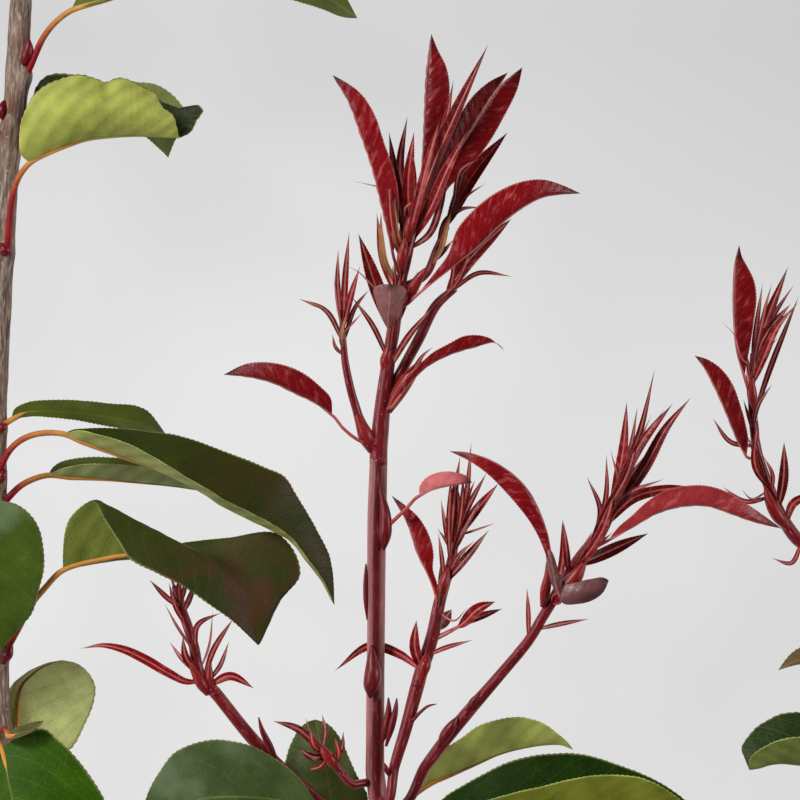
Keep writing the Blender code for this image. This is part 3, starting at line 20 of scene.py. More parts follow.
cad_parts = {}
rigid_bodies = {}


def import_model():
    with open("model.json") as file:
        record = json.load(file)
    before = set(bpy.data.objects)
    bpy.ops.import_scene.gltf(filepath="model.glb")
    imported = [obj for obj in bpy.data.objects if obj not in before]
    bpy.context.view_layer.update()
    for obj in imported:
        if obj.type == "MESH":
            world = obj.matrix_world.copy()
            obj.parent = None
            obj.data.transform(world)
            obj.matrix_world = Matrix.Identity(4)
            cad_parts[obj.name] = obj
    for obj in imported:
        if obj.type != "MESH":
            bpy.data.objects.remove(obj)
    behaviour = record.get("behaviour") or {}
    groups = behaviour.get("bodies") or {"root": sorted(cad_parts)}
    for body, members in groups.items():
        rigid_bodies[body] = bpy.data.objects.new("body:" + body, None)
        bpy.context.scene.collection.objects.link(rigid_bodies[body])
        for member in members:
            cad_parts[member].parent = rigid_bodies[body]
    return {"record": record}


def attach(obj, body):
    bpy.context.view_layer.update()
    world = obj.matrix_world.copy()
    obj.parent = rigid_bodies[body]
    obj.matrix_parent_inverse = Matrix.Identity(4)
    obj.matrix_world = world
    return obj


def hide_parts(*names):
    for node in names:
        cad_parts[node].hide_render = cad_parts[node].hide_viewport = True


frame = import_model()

LOG = logging.getLogger("branch")
SEED = 58
MM = 0.001  # one millimetre in metres
FINE = 240  # points of a fine line
GAP = 0.3  # clearance between a limb and what it carries, in millimetres as all lengths below
BASE_RUN = 1.6  # the first straight run of a side piece, out of its limb
ROOT_CLEAR = 2.5  # how far roots keep from the foot of a shoot
LIMB_SINK = 1.2  # how far a limb's foot is drawn back into the limb that carries it
LIMB_STEP = 18.0  # the step of a limb's line in its solid
WIDEST_SPIKE = 1.45  # the greatest half width of a young leaf that is made as a spike
STALK_SHARE = 0.25  # the share along at which every stalk's colour ends
GOLDEN_ANGLE = 137.5  # degrees from one seeded leaf to the next
VEIN_STEP = 6.5  # from one side vein of an old leaf to the next
VEIN_LEAN = 0.75  # how far a side vein runs forward for each millimetre outward, at the rib
VEIN_BEND = 0.02  # how much that grows towards the edge
NARROW_STEP = 5.0  # the step of the side veins of a strongly crinkled leaf
TWIG_SIDES = 20  # points round a twig
TWIG_STEP = 0.8  # from ring to ring along a twig
BEAD_SIDES = 12  # points round a scale or a bud
BEAD_STEP = 10  # fine points from ring to ring along it
BEAD_TONE = 0.7
RIB_STEP = 1.2  # from ring to ring along a stalk and its rib
RIB_RINGS = (8, 90)  # the fewest and the most of those rings
RIB_END = 0.985  # the share of its line where a rib ends
AHEAD = 0.85  # the cosine from which a limb goes straight on from its carrier's end
HIDDEN_REACH = 0.25  # of a half leaf's width: how far its hidden half reaches out
HIDDEN_DROP = 0.85  # of a half leaf's width: how far its hidden half hangs down
UP = (0.0, 0.0, 1.0)
STRIP = np.array((-0.02, 0.0, 0.02))  # shares across, for the middle strip of a blade
CUT_CENTRE = np.array((-75.0, -240.0, 4.7))  # of the main stem's cut end, in the view
PLACE = np.array(frame["record"]["mounts"][0]["pos_m"]) / MM - CUT_CENTRE

Point = tuple[float, ...]
Colour = tuple[float, float, float]


def unit(rows: np.ndarray) -> np.ndarray:
    """Vectors along the last axis, each divided by its own length."""
    return rows / np.maximum(np.linalg.norm(rows, axis=-1, keepdims=True), 1e-12)


def length_of(points: list[Point] | np.ndarray) -> float:
    """The sum of the straight steps between points."""
    return float(run_along(np.array(points, dtype=float))[-1])


def pick(rows: np.ndarray, shares: np.ndarray) -> np.ndarray:
    """Rows of a fine line at the given shares of its length, by straight steps."""
    places = np.linspace(0.0, 1.0, len(rows))
    return np.stack([np.interp(shares, places, column) for column in rows.T], axis=1)


def run_along(points: np.ndarray) -> np.ndarray:
    """For each point of a line, the length of the line up to it."""
    steps = np.linalg.norm(np.diff(points[:, :3], axis=0), axis=1)
    return np.concatenate(([0.0], np.cumsum(steps)))


def even(line: np.ndarray, count: int) -> np.ndarray:
    """The same line with a count of points that are evenly spaced along it."""
    run = run_along(line)
    wanted = np.linspace(0.0, run[-1], count)
    return np.stack([np.interp(wanted, run, column) for column in line.T], axis=1)


def hermite(
    t: np.ndarray, width: np.ndarray | float, values: np.ndarray, slopes: np.ndarray,
    piece: np.ndarray
) -> np.ndarray:
    """Points on cubics, each with given values and slopes at both ends.

    Args:
        t: The share of its cubic at each point, from 0 to 1.
        width: The width of each cubic.
        values: The values at the joints.
        slopes: The slopes at the joints.
        piece: The number of the cubic for each point.

    Returns:
        The values at the points.
    """
    return (
        (2 * t**3 - 3 * t**2 + 1) * values[piece]
        + (t**3 - 2 * t**2 + t) * width * slopes[piece]
        + (3 * t**2 - 2 * t**3) * values[piece + 1]
        + (t**3 - t**2) * width * slopes[piece + 1]
    )


def frames(line: np.ndarray) -> tuple[np.ndarray, np.ndarray, np.ndarray]:
    """The unit vectors along a line, to its left and up from both."""
    tangent = unit(np.gradient(line[:, :3], axis=0))
    side = unit(np.cross(UP, tangent))
    return tangent, side, np.cross(tangent, side)


def turns(sides: int) -> np.ndarray:
    """Angles once round, evenly spaced."""
    return np.linspace(0.0, 2 * math.pi, sides, endpoint=False)


def smooth(points: list[Point] | np.ndarray) -> np.ndarray:
    """A fine line along a smooth curve through points.

    Each step between two points is a cubic whose ends have the mean slope of the
    neighbouring steps.

    Args:
        points: The points, with any further columns such as a radius.

    Returns:
        Evenly spaced points along the curve.
    """
    given = np.array(points, dtype=float)
    along = run_along(given)
    fine = np.linspace(0.0, along[-1], 2 * FINE)
    piece = np.clip(np.searchsorted(along, fine, side="right") - 1, 0, len(given) - 2)
    width = np.linalg.norm(np.diff(given[:, :3], axis=0), axis=1)[piece]
    t = (fine - along[piece]) / width
    slopes = np.gradient(given, along, axis=0)
    return even(hermite(t[:, None], width[:, None], given, slopes, piece), FINE)


def noise(spots: np.ndarray, seed: int) -> np.ndarray:
    """Soft noise from -1 to 1: hashed values at whole numbers, joined by an S-curve.

    Args:
        spots: Points, with one to three columns, in units of the noise's own cell.
        seed: Which noise.

    Returns:
        One value for each point.
    """
    cell = np.floor(spots).astype(np.int64)
    part = spots - cell
    part = part * part * (3.0 - 2.0 * part)
    primes = np.array((73856093, 19349663, 83492791))[: spots.shape[-1]]
    total = np.zeros(spots.shape[:-1])
    for corner in itertools.product((0, 1), repeat=spots.shape[-1]):
        key = ((cell + corner) * primes).sum(axis=-1) + seed * 7919
        key = (key ^ (key >> 13)) * 1274126177 & 0xFFFFFFFF
        key = (key ^ (key >> 16)) * 2246822519 & 0xFFFFFFFF
        weight = np.where(np.array(corner) == 1, part, 1.0 - part).prod(axis=-1)
        total += weight * (key / 0x7FFFFFFF - 1.0)
    return total


def noise_round(run: np.ndarray, sides: int, around: float, along: float, seed: int) -> np.ndarray:
    """Noise on the skin of a tube, without a seam.

    Args:
        run: The length up to each ring.
        sides: How many points go round.
        around: The radius of each ring, in cells.
        along: The length of a cell along the tube.
        seed: Which noise.

    Returns:
        A value by ring and place in the ring.
    """
    shape = (len(run), sides)
    ring = np.stack((np.cos(turns(sides)), np.sin(turns(sides))), axis=-1) * around
    drawn = np.broadcast_to((run / along)[:, None, None], shape + (1,))
    return noise(np.concatenate((np.broadcast_to(ring[None], shape + (2,)), drawn), axis=-1), seed)


class Detail(Enum):
    """How finely a leaf is cut: rows in one tooth, and points from its rib to its edge."""

    CLOSE = (4, 10)
    FAR = (2, 6)
    YOUNG = (3, 6)
    SPIKE = (2, 4)


@dataclass
class Blade:
    """A leaf along a way from its root to its tip, with its half width and its set.

    The roll turns the upper side from the view towards the left of the way, and
    has a value at the foot, the middle and the tip. The fold lifts both halves.
    """

    way: list[Point]
    half_width: float
    roll: float | tuple[float, float, float] = 0.0
    fold: float = 20.0
    stalk: float = 0.0

    def rolls(self) -> tuple[float, float, float]:
        """The roll at the foot, the middle and the tip."""
        return self.roll if isinstance(self.roll, tuple) else (self.roll,) * 3

    def sheet(self, way: list[Point], shares: np.ndarray, across: np.ndarray) -> np.ndarray:
        """The middle surface of the blade, from where its stalk ends.

        A point is the way's own point, plus its side vector times the share across
        times the half width, plus its face vector times a lift that grows with the
        distance from the rib. The half width is a power of half a sine wave.

        Args:
            way: The points that the leaf follows.
            shares: Shares of the blade's length, from 0 to 1.
            across: Shares across, from -1 to 1.

        Returns:
            Points by row and column.
        """
        fine = smooth(way)
        along = self.stalk + (1.0 - self.stalk) * shares
        line = pick(fine, along)[:, :3]
        tangent = unit(pick(np.gradient(fine[:, :3], axis=0), along))
        side = unit(np.cross(UP, tangent))
        up = np.cross(tangent, side)
        roll = np.radians(np.interp(along, (0.0, 0.5, 1.0), self.rolls()))[:, None]
        face = np.cos(roll) * up + np.sin(roll) * side
        side = np.cos(roll) * side - np.sin(roll) * up
        wave = np.sin(np.pi * np.clip(shares, 0.0, 1.0) ** 0.86).clip(0.0, 1.0)
        wide = np.maximum(self.half_width * wave ** (0.72 + 0.4 * shares**2), 0.03)
        fold = math.radians(self.fold)
        x = np.outer(wide, across * math.cos(fold))
        y = np.outer(wide, (np.abs(across) ** 1.12 - 0.12 * across**4) * math.sin(fold))
        return line[:, None, :] + side[:, None, :] * x[..., None] + face[:, None, :] * y[..., None]


@dataclass
class Led:
    """A leaf that is led by lines from its foot to its tip, spread evenly from edge to edge.

    With the tip to the right, the first line is the lower edge when the upper side shows.
    """

    stalk: list[Point]
    guides: list[list[Point]]

    def rib(self) -> list[Point]:
        """The line in the middle."""
        return self.guides[len(self.guides) // 2]

    def sheet(self, shares: np.ndarray, across: np.ndarray) -> np.ndarray:
        """The middle surface: at each share along, a smooth curve through the lines.

        Args:
            shares: Shares along.
            across: Shares across, from -1 to 1.

        Returns:
            Points by row and column.
        """
        lines = np.stack([pick(smooth(guide), shares) for guide in self.guides])
        places = np.linspace(-1.0, 1.0, len(lines))
        slopes = np.gradient(lines, places, axis=0)
        piece = np.clip(np.searchsorted(places, across, side="right") - 1, 0, len(lines) - 2)
        width = places[1] - places[0]
        t = ((across - places[piece]) / width)[:, None, None]
        return hermite(t, width, lines, slopes, piece).transpose(1, 0, 2)


@dataclass
class Half:
    """A young leaf that shows one half beside its rib, while the other half hangs below it.

    The stalk starts at a spot of the view on the shoot that carries the leaf. The edge
    is given in the view alone; it rises from the rib by a share of its distance to it.
    """

    root: Point
    stalk: list[Point]
    line: list[Point]
    edge: list[Point]
    tone: float = 0.4
    rise: float = 0.12
    bumps: float = 1.0

    def led(self, root: Point) -> Led:
        """The leaf as three lines, on a stalk from a point.

        The hidden edge is the rib's point, plus a quarter of the step from the rib to
        the seen edge, less most of that step's length as a height.

        Args:
            root: Where the stalk starts.

        Returns:
            The led leaf.
        """
        rib = smooth(self.line)
        edge = smooth([(x, y, 0.0) for x, y in (rib[0, :2], *self.edge, rib[-1, :2])])
        across = np.column_stack((edge[:, :2] - rib[:, :2], np.zeros(len(rib))))
        wide = np.linalg.norm(across, axis=1)[:, None] * np.array(UP)
        seen = rib + across + wide * self.rise
        hidden = rib + across * HIDDEN_REACH - wide * HIDDEN_DROP
        middle = FINE // 2
        way = rib[middle + 5] - rib[middle - 5]
        left = way[0] * across[middle, 1] - way[1] * across[middle, 0] > 0
        guides = [hidden, rib, seen] if left else [seen, rib, hidden]
        return Led([root, *self.stalk, self.line[0]], guides)


@dataclass
class Skin:
    """A mesh in the making: closed patches, each with the values its finish reads."""

    name: str
    points: list[np.ndarray] = field(default_factory=list)
    faces: list[np.ndarray] = field(default_factory=list)
    places: list[np.ndarray] = field(default_factory=list)
    looks: list[np.ndarray] = field(default_factory=list)
    count: int = 0

    def add(self, rings: np.ndarray, place: np.ndarray, look: np.ndarray) -> None:
        """Add a closed patch through rings, with a point in the middle of each end.

        Faces join each point to the next in its ring and in the next ring, and the
        ends are fans. The patch is turned so that its signed volume is positive.

        Args:
            rings: Points by ring and place in the ring, in millimetres of the view.
            place: For each point, across and along in millimetres, and the share along.
            look: For each point, how far it is on the upper side, its tone and its kind.
        """
        count, sides = rings.shape[:2]
        index = np.arange(count * sides).reshape(count, sides)
        after = np.roll(index, -1, axis=1)
        quads = np.stack((index[:-1], after[:-1], after[1:], index[1:]), axis=-1).reshape(-1, 4)
        first, last = count * sides, count * sides + 1
        start = np.stack((after[0], index[0], *(np.full(sides, first),) * 2), axis=-1)
        end = np.stack((index[-1], after[-1], *(np.full(sides, last),) * 2), axis=-1)
        faces = np.concatenate((quads, start, end))

        def flat(values: np.ndarray) -> np.ndarray:
            """The values of all points, then the mean of each end ring."""
            ends = [values[0].mean(axis=0), values[-1].mean(axis=0)]
            return np.concatenate((values.reshape(-1, 3), ends))

        points = flat(rings)
        a, b, c, d = (points[faces[:, k]] for k in range(4))
        volume = (np.cross(a, b) * c).sum() + (np.cross(a, c) * d).sum()
        self.faces.append((faces if volume > 0 else faces[:, (3, 2, 1, 0)]) + self.count)
        self.points.append(points)
        self.places.append(flat(place))
        self.looks.append(flat(look))
        self.count += len(points)

    def finish(self, material: bpy.types.Material, slot: str, nodes: list[str]) -> bpy.types.Object:
        """Make the object, in its place in the frame, and let it stand for its nodes.

        Args:
            material: The finish of the whole piece.
            slot: The record's material slot; not used.
            nodes: The nodes of the frame that the piece replaces.

        Returns:
            The new object.
        """
        points = (np.concatenate(self.points) + PLACE) * MM
        quads = np.concatenate(self.faces)
        fan = quads[:, 2] == quads[:, 3]
        fan_start = quads[:, 0] == quads[:, 1]
        triangles = np.concatenate((quads[fan][:, :3], quads[fan_start & ~fan][:, 1:]))
        quads = quads[~fan & ~fan_start]
        corners = np.concatenate((quads.ravel(), triangles.ravel()))
        starts = np.concatenate((
            np.arange(len(quads)) * 4, len(quads) * 4 + np.arange(len(triangles)) * 3))
        mesh = bpy.data.meshes.new(self.name)
        mesh.vertices.add(len(points))
        mesh.vertices.foreach_set("co", points.astype(np.float32).ravel())
        mesh.loops.add(len(corners))
        mesh.loops.foreach_set("vertex_index", corners.astype(np.int32))
        mesh.polygons.add(len(starts))
        mesh.polygons.foreach_set("loop_start", starts.astype(np.int32))
        mesh.polygons.foreach_set("use_smooth", np.ones(len(starts), dtype=bool))
        for title, values in (("place", self.places), ("look", self.looks)):
            layer = mesh.attributes.new(title, "FLOAT_VECTOR", "POINT")
            layer.data.foreach_set("vector", np.concatenate(values).astype(np.float32).ravel())
        mesh.update(calc_edges=True)
        mesh.validate()
        mesh.materials.append(material)
        made = bpy.data.objects.new(self.name, mesh)
        bpy.context.scene.collection.objects.link(made)
        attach(made, "root")
        if nodes:
            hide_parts(*nodes)
        LOG.info("%s: %d faces", self.name, len(starts))
        return made


def tube(
    skin: Skin, line: np.ndarray, sides: int, tone: float = 0.5,
    relief: np.ndarray | None = None, share: np.ndarray | None = None
) -> None:
    """Add a round tube along a line whose fourth column is its radius.

    Each ring is the line's point plus its side and up vectors times the cosine and
    sine of the turn, times the radius and any relief.

    Args:
        skin: The mesh in the making.
        line: Points with a radius.
        sides: How many points go round.
        tone: The tone of the patch.
        relief: Added to the radius, by ring and place in the ring.
        share: The share along at each ring, if not that of the length.
    """
    _, side, up = frames(line)
    turn = turns(sides)
    out = side[:, None] * np.cos(turn)[:, None] + up[:, None] * np.sin(turn)[:, None]
    radius = line[:, 3][:, None] + (0.0 if relief is None else relief)
    rings = line[:, None, :3] + out * (radius * np.ones(sides))[..., None]
    run = run_along(line)
    shares = run / run[-1] if share is None else share
    shape = rings.shape[:2]
    place = np.stack(
        np.broadcast_arrays(turn * line[:, 3].mean(), run[:, None], shares[:, None]), axis=-1)
    look = np.stack((
        np.broadcast_to(0.5 + 0.5 * np.sin(turn), shape), np.full(shape, tone), np.zeros(shape)),
        axis=-1)
    skin.add(rings, place, look)


def beads(skin: Skin, lines: list[list[Point]]) -> None:
    """Add scales and buds: round tubes along short lines."""
    for line in lines:
        tube(skin, smooth(line)[::BEAD_STEP], BEAD_SIDES, BEAD_TONE)


@dataclass
class LeafCut:
    """How the detail of a leaf is cut: its teeth, its veins and its waves, in millimetres."""

    detail: Detail
    thickness: float = 0.5
    tooth: float = 1.35
    tooth_height: float = 0.25
    vein_step: float = VEIN_STEP
    quilt: float = 0.22
    ripple: float = 0.5
    ripple_step: float = 17.0
    rib: float = 1.05

    def columns(self) -> np.ndarray:
        """Shares across from -1 to 1, closer at the rib and at the edges."""
        half = self.detail.value[1]
        inner = np.linspace(0.0, 0.9, half - 1)
        inner = np.concatenate((inner, (0.965, 1.0) if half > 4 else (1.0,)))
        return np.concatenate((-inner[:0:-1], inner))

    def rows(self, length: float) -> np.ndarray:
        """Shares along from 0 to 1, with a whole number of rows in each tooth."""
        teeth = max(4, round(length / self.tooth))
        return np.linspace(0.0, 1.0, teeth * self.detail.value[0] + 1)

    def blade(
        self, skin: Skin, surface: np.ndarray, shares: np.ndarray, tone: float, stalk: float
    ) -> None:
        """Add a leaf blade to a mesh: its middle surface with all its detail, as a closed sheet.

        Along the normal, the surface rises between its side veins, which leave the rib
        every vein step and lean forward, and waves towards its edges. The edges step
        out in teeth like a saw. Upper and under side lie half the thickness apart.

        Args:
            skin: The mesh in the making.
            surface: The middle surface, by row and column.
            shares: The blade's share at each row.
            tone: The tone of this leaf.
            stalk: The share of the whole leaf that its stalk takes.
        """
        across = self.columns()
        middle = len(across) // 2
        steps = np.linalg.norm(np.diff(surface, axis=1), axis=-1)
        reach = np.concatenate((np.zeros((len(shares), 1)), np.cumsum(steps, axis=1)), axis=1)
        reach = reach - reach[:, middle : middle + 1]
        run = run_along(surface[:, middle])[:, None]
        normal = unit(np.cross(np.gradient(surface, axis=0), np.gradient(surface, axis=1)))
        edge = np.abs(across)[None, :]
        vein = run - VEIN_LEAN * np.abs(reach) - VEIN_BEND * reach**2
        phase = vein / self.vein_step + 0.5 * (reach < 0)
        wide = np.maximum(reach[:, -1:], 0.1)
        fade = np.clip(wide / 4.0, 0.0, 1.0)
        swell = np.abs(np.sin(math.pi * phase)) ** 0.7 - 0.6
        lift = self.quilt * swell * fade * np.sqrt(edge) * (1.0 - 0.5 * edge)
        spots = np.broadcast_arrays(run / self.ripple_step, np.sign(reach) * 3.7 + tone * 9.0)
        lift = lift + self.ripple * noise(np.stack(spots, axis=-1), 5) * edge**2 * fade
        surface = surface + normal * lift[..., None]
        rows_in_tooth = self.detail.value[0]
        saw = (np.arange(len(shares)) % rows_in_tooth) / max(1, rows_in_tooth - 1)
        saw = saw * self.tooth_height
        saw = saw * np.clip(6.0 * shares, 0, 1) * np.clip(8.0 * (1.0 - shares), 0, 1)
        for outer, inner in ((0, 1), (-1, -2)):
            out = unit(surface[:, outer] - surface[:, inner - (1 if inner < 0 else -1)])
            surface[:, outer] += out * saw[:, None]
        half = 0.5 * self.thickness * (1.0 - 0.55 * edge**2) * np.clip(wide / 1.5, 0.3, 1.0)
        top = surface + normal * half[..., None]
        under = surface - normal * half[..., None]
        top[:, (0, -1)] = surface[:, (0, -1)]
        rings = np.concatenate((top, under[:, -2:0:-1]), axis=1)
        whole = (stalk + (1.0 - stalk) * shares)[:, None]
        place = np.stack(np.broadcast_arrays(reach, run, whole), axis=-1)
        upper = np.stack(np.broadcast_arrays(1.0 + 0.0 * reach, tone, 1.0 + edge), axis=-1)
        lower = upper * (0.0, 1.0, 1.0)
        upper[:, (0, -1), 0] = 0.5
        skin.add(
            rings,
            np.concatenate((place, place[:, -2:0:-1]), axis=1),
            np.concatenate((upper, lower[:, -2:0:-1]), axis=1))

    def leaf(self, skin: Skin, blade: Blade, way: list[Point], tone: float) -> None:
        """Add a whole leaf: its blade, and a stalk that runs on under it as the rib.

        Args:
            skin: The mesh in the making.
            blade: The leaf's form.
            way: The points that it follows, from its root.
            tone: The tone of this leaf.
        """
        shares = self.rows(length_of(way) * (1.0 - blade.stalk))
        self.blade(skin, blade.sheet(way, shares, self.columns()), shares, tone, blade.stalk)
        strip = blade.sheet(way, np.linspace(0.0, 1.0, FINE), STRIP)
        self.rib_along(skin, smooth(way)[:, :3], blade.stalk, strip, tone)

    def led(self, skin: Skin, form: Led, tone: float) -> None:
        """Add a whole led leaf: its blade, and a stalk that runs on under it as the rib.

        Args:
            skin: The mesh in the making.
            form: The leaf's stalk and lines.
            tone: The tone of this leaf.
        """
        fine = smooth([*form.stalk[:-1], *form.rib()])[:, :3]
        stalk = 1.0 - length_of(form.rib()) / length_of(fine)
        shares = self.rows(length_of(form.rib()))
        self.blade(skin, form.sheet(shares, self.columns()), shares, tone, stalk)
        self.rib_along(skin, fine, stalk, form.sheet(np.linspace(0.0, 1.0, FINE), STRIP), tone)

    def rib_along(
        self, skin: Skin, line: np.ndarray, stalk: float, strip: np.ndarray, tone: float
    ) -> None:
        """Add the stalk and the rib, a tube that thins towards the tip and sinks in the blade.

        Args:
            skin: The mesh in the making.
            line: The leaf's own line from its root.
            stalk: The share of the line that its stalk takes.
            strip: The middle of the blade, three columns wide.
            tone: The tone of this leaf.
        """
        share = np.linspace(0.0, 1.0, len(line))
        radius = self.rib * np.interp(
            share, (0.0, 0.02, stalk, stalk + 0.25, 0.97, 1.0), (1.25, 1.0, 0.82, 0.5, 0.14, 0.05))
        normal = unit(np.cross(np.gradient(strip, axis=0), np.gradient(strip, axis=1)))[:, 1]
        blade_share = np.clip((share - stalk) / (1.0 - stalk), 0.0, 1.0)
        depth = 0.62 * radius * np.clip((share - stalk) * 12.0, 0.0, 1.0)
        drop = pick(normal, blade_share) * -depth[:, None]
        count = int(np.clip(round(length_of(line) / RIB_STEP), *RIB_RINGS))
        run = np.linspace(0.0, RIB_END, count)
        route = pick(np.column_stack((line + drop, radius)), run)
        part = np.interp(run, (0.0, max(stalk, 1e-3), 1.0), (0.0, STALK_SHARE, 1.0))
        tube(skin, route, 8 if self.rib > 0.6 else 6, tone, share=part)


YOUNG_CUT = LeafCut(
    Detail.YOUNG, thickness=0.26, tooth=1.0, tooth_height=0.16, vein_step=4.4, quilt=0.10,
    ripple=0.2, ripple_step=9.0, rib=0.4)
SPIKE_CUT = LeafCut(
    Detail.SPIKE, thickness=0.3, tooth=1.6, tooth_height=0.0, vein_step=4.0, quilt=0.0,
    ripple=0.05, ripple_step=9.0, rib=0.3)


class Socket:
    """One output of a shader node, with maths on it written as expressions."""

    def __init__(self, board: "Board", link: bpy.types.NodeSocket) -> None:
        """Keep the node board and the output."""
        self.board = board
        self.link = link

    def _math(self, operation: str, *values: "Socket | float", clamp: bool = False) -> "Socket":
        """A Math node on plain numbers or outputs."""
        return self.board.node(
            "ShaderNodeMath", {"operation": operation, "use_clamp": clamp}, dict(enumerate(values)))

    def __add__(self, other: "Socket | float") -> "Socket":
        """The sum."""
        return self._math("ADD", self, other)

    __radd__ = __add__

    def __sub__(self, other: "Socket | float") -> "Socket":
        """The difference."""
        return self._math("SUBTRACT", self, other)

    def __rsub__(self, other: float) -> "Socket":
        """The difference from a number."""
        return self._math("SUBTRACT", other, self)

    def __mul__(self, other: "Socket | float") -> "Socket":
        """The product."""
        return self._math("MULTIPLY", self, other)

    __rmul__ = __mul__

    def __truediv__(self, other: "Socket | float") -> "Socket":
        """The quotient."""
        return self._math("DIVIDE", self, other)

    def __abs__(self) -> "Socket":
        """The value without its sign."""
        return self._math("ABSOLUTE", self)

    def clamp(self) -> "Socket":
        """The value held between 0 and 1."""
        return self._math("ADD", self, 0.0, clamp=True)

    def wave(self) -> "Socket":
        """Up from 0 to a half and back over each whole number."""
        return self._math("PINGPONG", self, 0.5)

    def step(self, low: float, high: float) -> "Socket":
        """An S-curve from 0 at the low value to 1 at the high one."""
        return self.board.node(
            "ShaderNodeMapRange", {"interpolation_type": "SMOOTHSTEP"},
            {"Value": self, "From Min": low, "From Max": high, "To Min": 0.0, "To Max": 1.0},
            "Result")


class Board:
    """The node board of one material, which ends in one Principled shader."""

    def __init__(self, name: str) -> None:
        """Start a material with only its shader and its output."""
        self.material = bpy.data.materials.new(name)
        self.material.use_nodes = True
        self.tree = self.material.node_tree
        self.shader = self.tree.nodes["Principled BSDF"]

    def node(
        self, kind: str, settings: dict[str, object], values: dict[object, object],
        output: str | int = 0
    ) -> Socket:
        """Add a node.

        Args:
            kind: The node's type.
            settings: Its own settings, set first.
            values: For each input, a number, a tuple or another output.
            output: Which output is given back.

        Returns:
            That output.
        """
        made = self.tree.nodes.new(kind)
        for key, value in settings.items():
            setattr(made, key, value)
        for key, value in values.items():
            if isinstance(value, Socket):
                self.tree.links.new(value.link, made.inputs[key])
            else:
                made.inputs[key].default_value = value
        return Socket(self, made.outputs[output])

    def mix(
        self, factor: Socket | float, first: Socket | Colour, second: Socket | Colour
    ) -> Socket:
        """The first colour, and the second where the factor is 1."""
        first = first if isinstance(first, Socket) else (*first, 1.0)
        second = second if isinstance(second, Socket) else (*second, 1.0)
        values = {0: factor, 6: first, 7: second}
        return self.node("ShaderNodeMix", {"data_type": "RGBA"}, values, 2)

    def shade(self, colour: Socket, factor: Socket) -> Socket:
        """The colour, made darker or lighter by a factor, as a vector times a number."""
        values = {0: colour, "Scale": factor}
        return self.node("ShaderNodeVectorMath", {"operation": "SCALE"}, values)

    def place(self) -> Socket:
        """Object coordinates in millimetres."""
        spot = self.node("ShaderNodeTexCoord", {}, {}, "Object")
        return self.node("ShaderNodeMapping", {}, {"Vector": spot, "Scale": (1.0 / MM,) * 3})

    def join(self, *parts: Socket | float) -> Socket:
        """Up to three numbers as a vector."""
        return self.node("ShaderNodeCombineXYZ", {}, dict(zip("XYZ", parts)))

    def spots(self, where: Socket, scale: float, detail: float = 3.0, rough: float = 0.5) -> Socket:
        """Noise from 0 to 1."""
        return self.node("ShaderNodeTexNoise", {}, {
            "Vector": where, "Scale": scale, "Detail": detail, "Roughness": rough})

    def cells(self, where: Socket, scale: float, feature: str = "DISTANCE_TO_EDGE") -> Socket:
        """The distance to the edge of the nearest cell, or by "F1" to its middle."""
        values = {"Vector": where, "Scale": scale}
        return self.node("ShaderNodeTexVoronoi", {"feature": feature}, values)

    def apart(self, vector: Socket) -> list[Socket]:
        """The three numbers of a vector."""
        return [self.node("ShaderNodeSeparateXYZ", {}, {"Vector": vector}, k) for k in range(3)]

    def own(self, name: str) -> list[Socket]:
        """The three numbers of an attribute of the piece."""
        return self.apart(self.node("ShaderNodeAttribute", {"attribute_name": name}, {}, "Vector"))

    def relief(self, height: Socket, strength: float, distance: float) -> None:
        """Let a height, in millimetres times the distance, bend the shader's normal."""
        bump = self.node("ShaderNodeBump", {}, {
            "Height": height, "Strength": strength, "Distance": distance * MM})
        self.tree.links.new(bump.link, self.shader.inputs["Normal"])

    def finish(
        self, colour: Socket, roughness: Socket | float, **constants: float
    ) -> bpy.types.Material:
        """Connect the shader.

        Args:
            colour: What the base colour is.
            roughness: What the roughness is.
            constants: Numbers for the shader's other inputs, spaces as underscores.

        Returns:
            The material.
        """
        self.tree.links.new(colour.link, self.shader.inputs["Base Color"])
        if isinstance(roughness, Socket):
            self.tree.links.new(roughness.link, self.shader.inputs["Roughness"])
        else:
            self.shader.inputs["Roughness"].default_value = roughness
        for key, value in constants.items():
            self.shader.inputs[key.replace("_", " ")].default_value = value
        return self.material


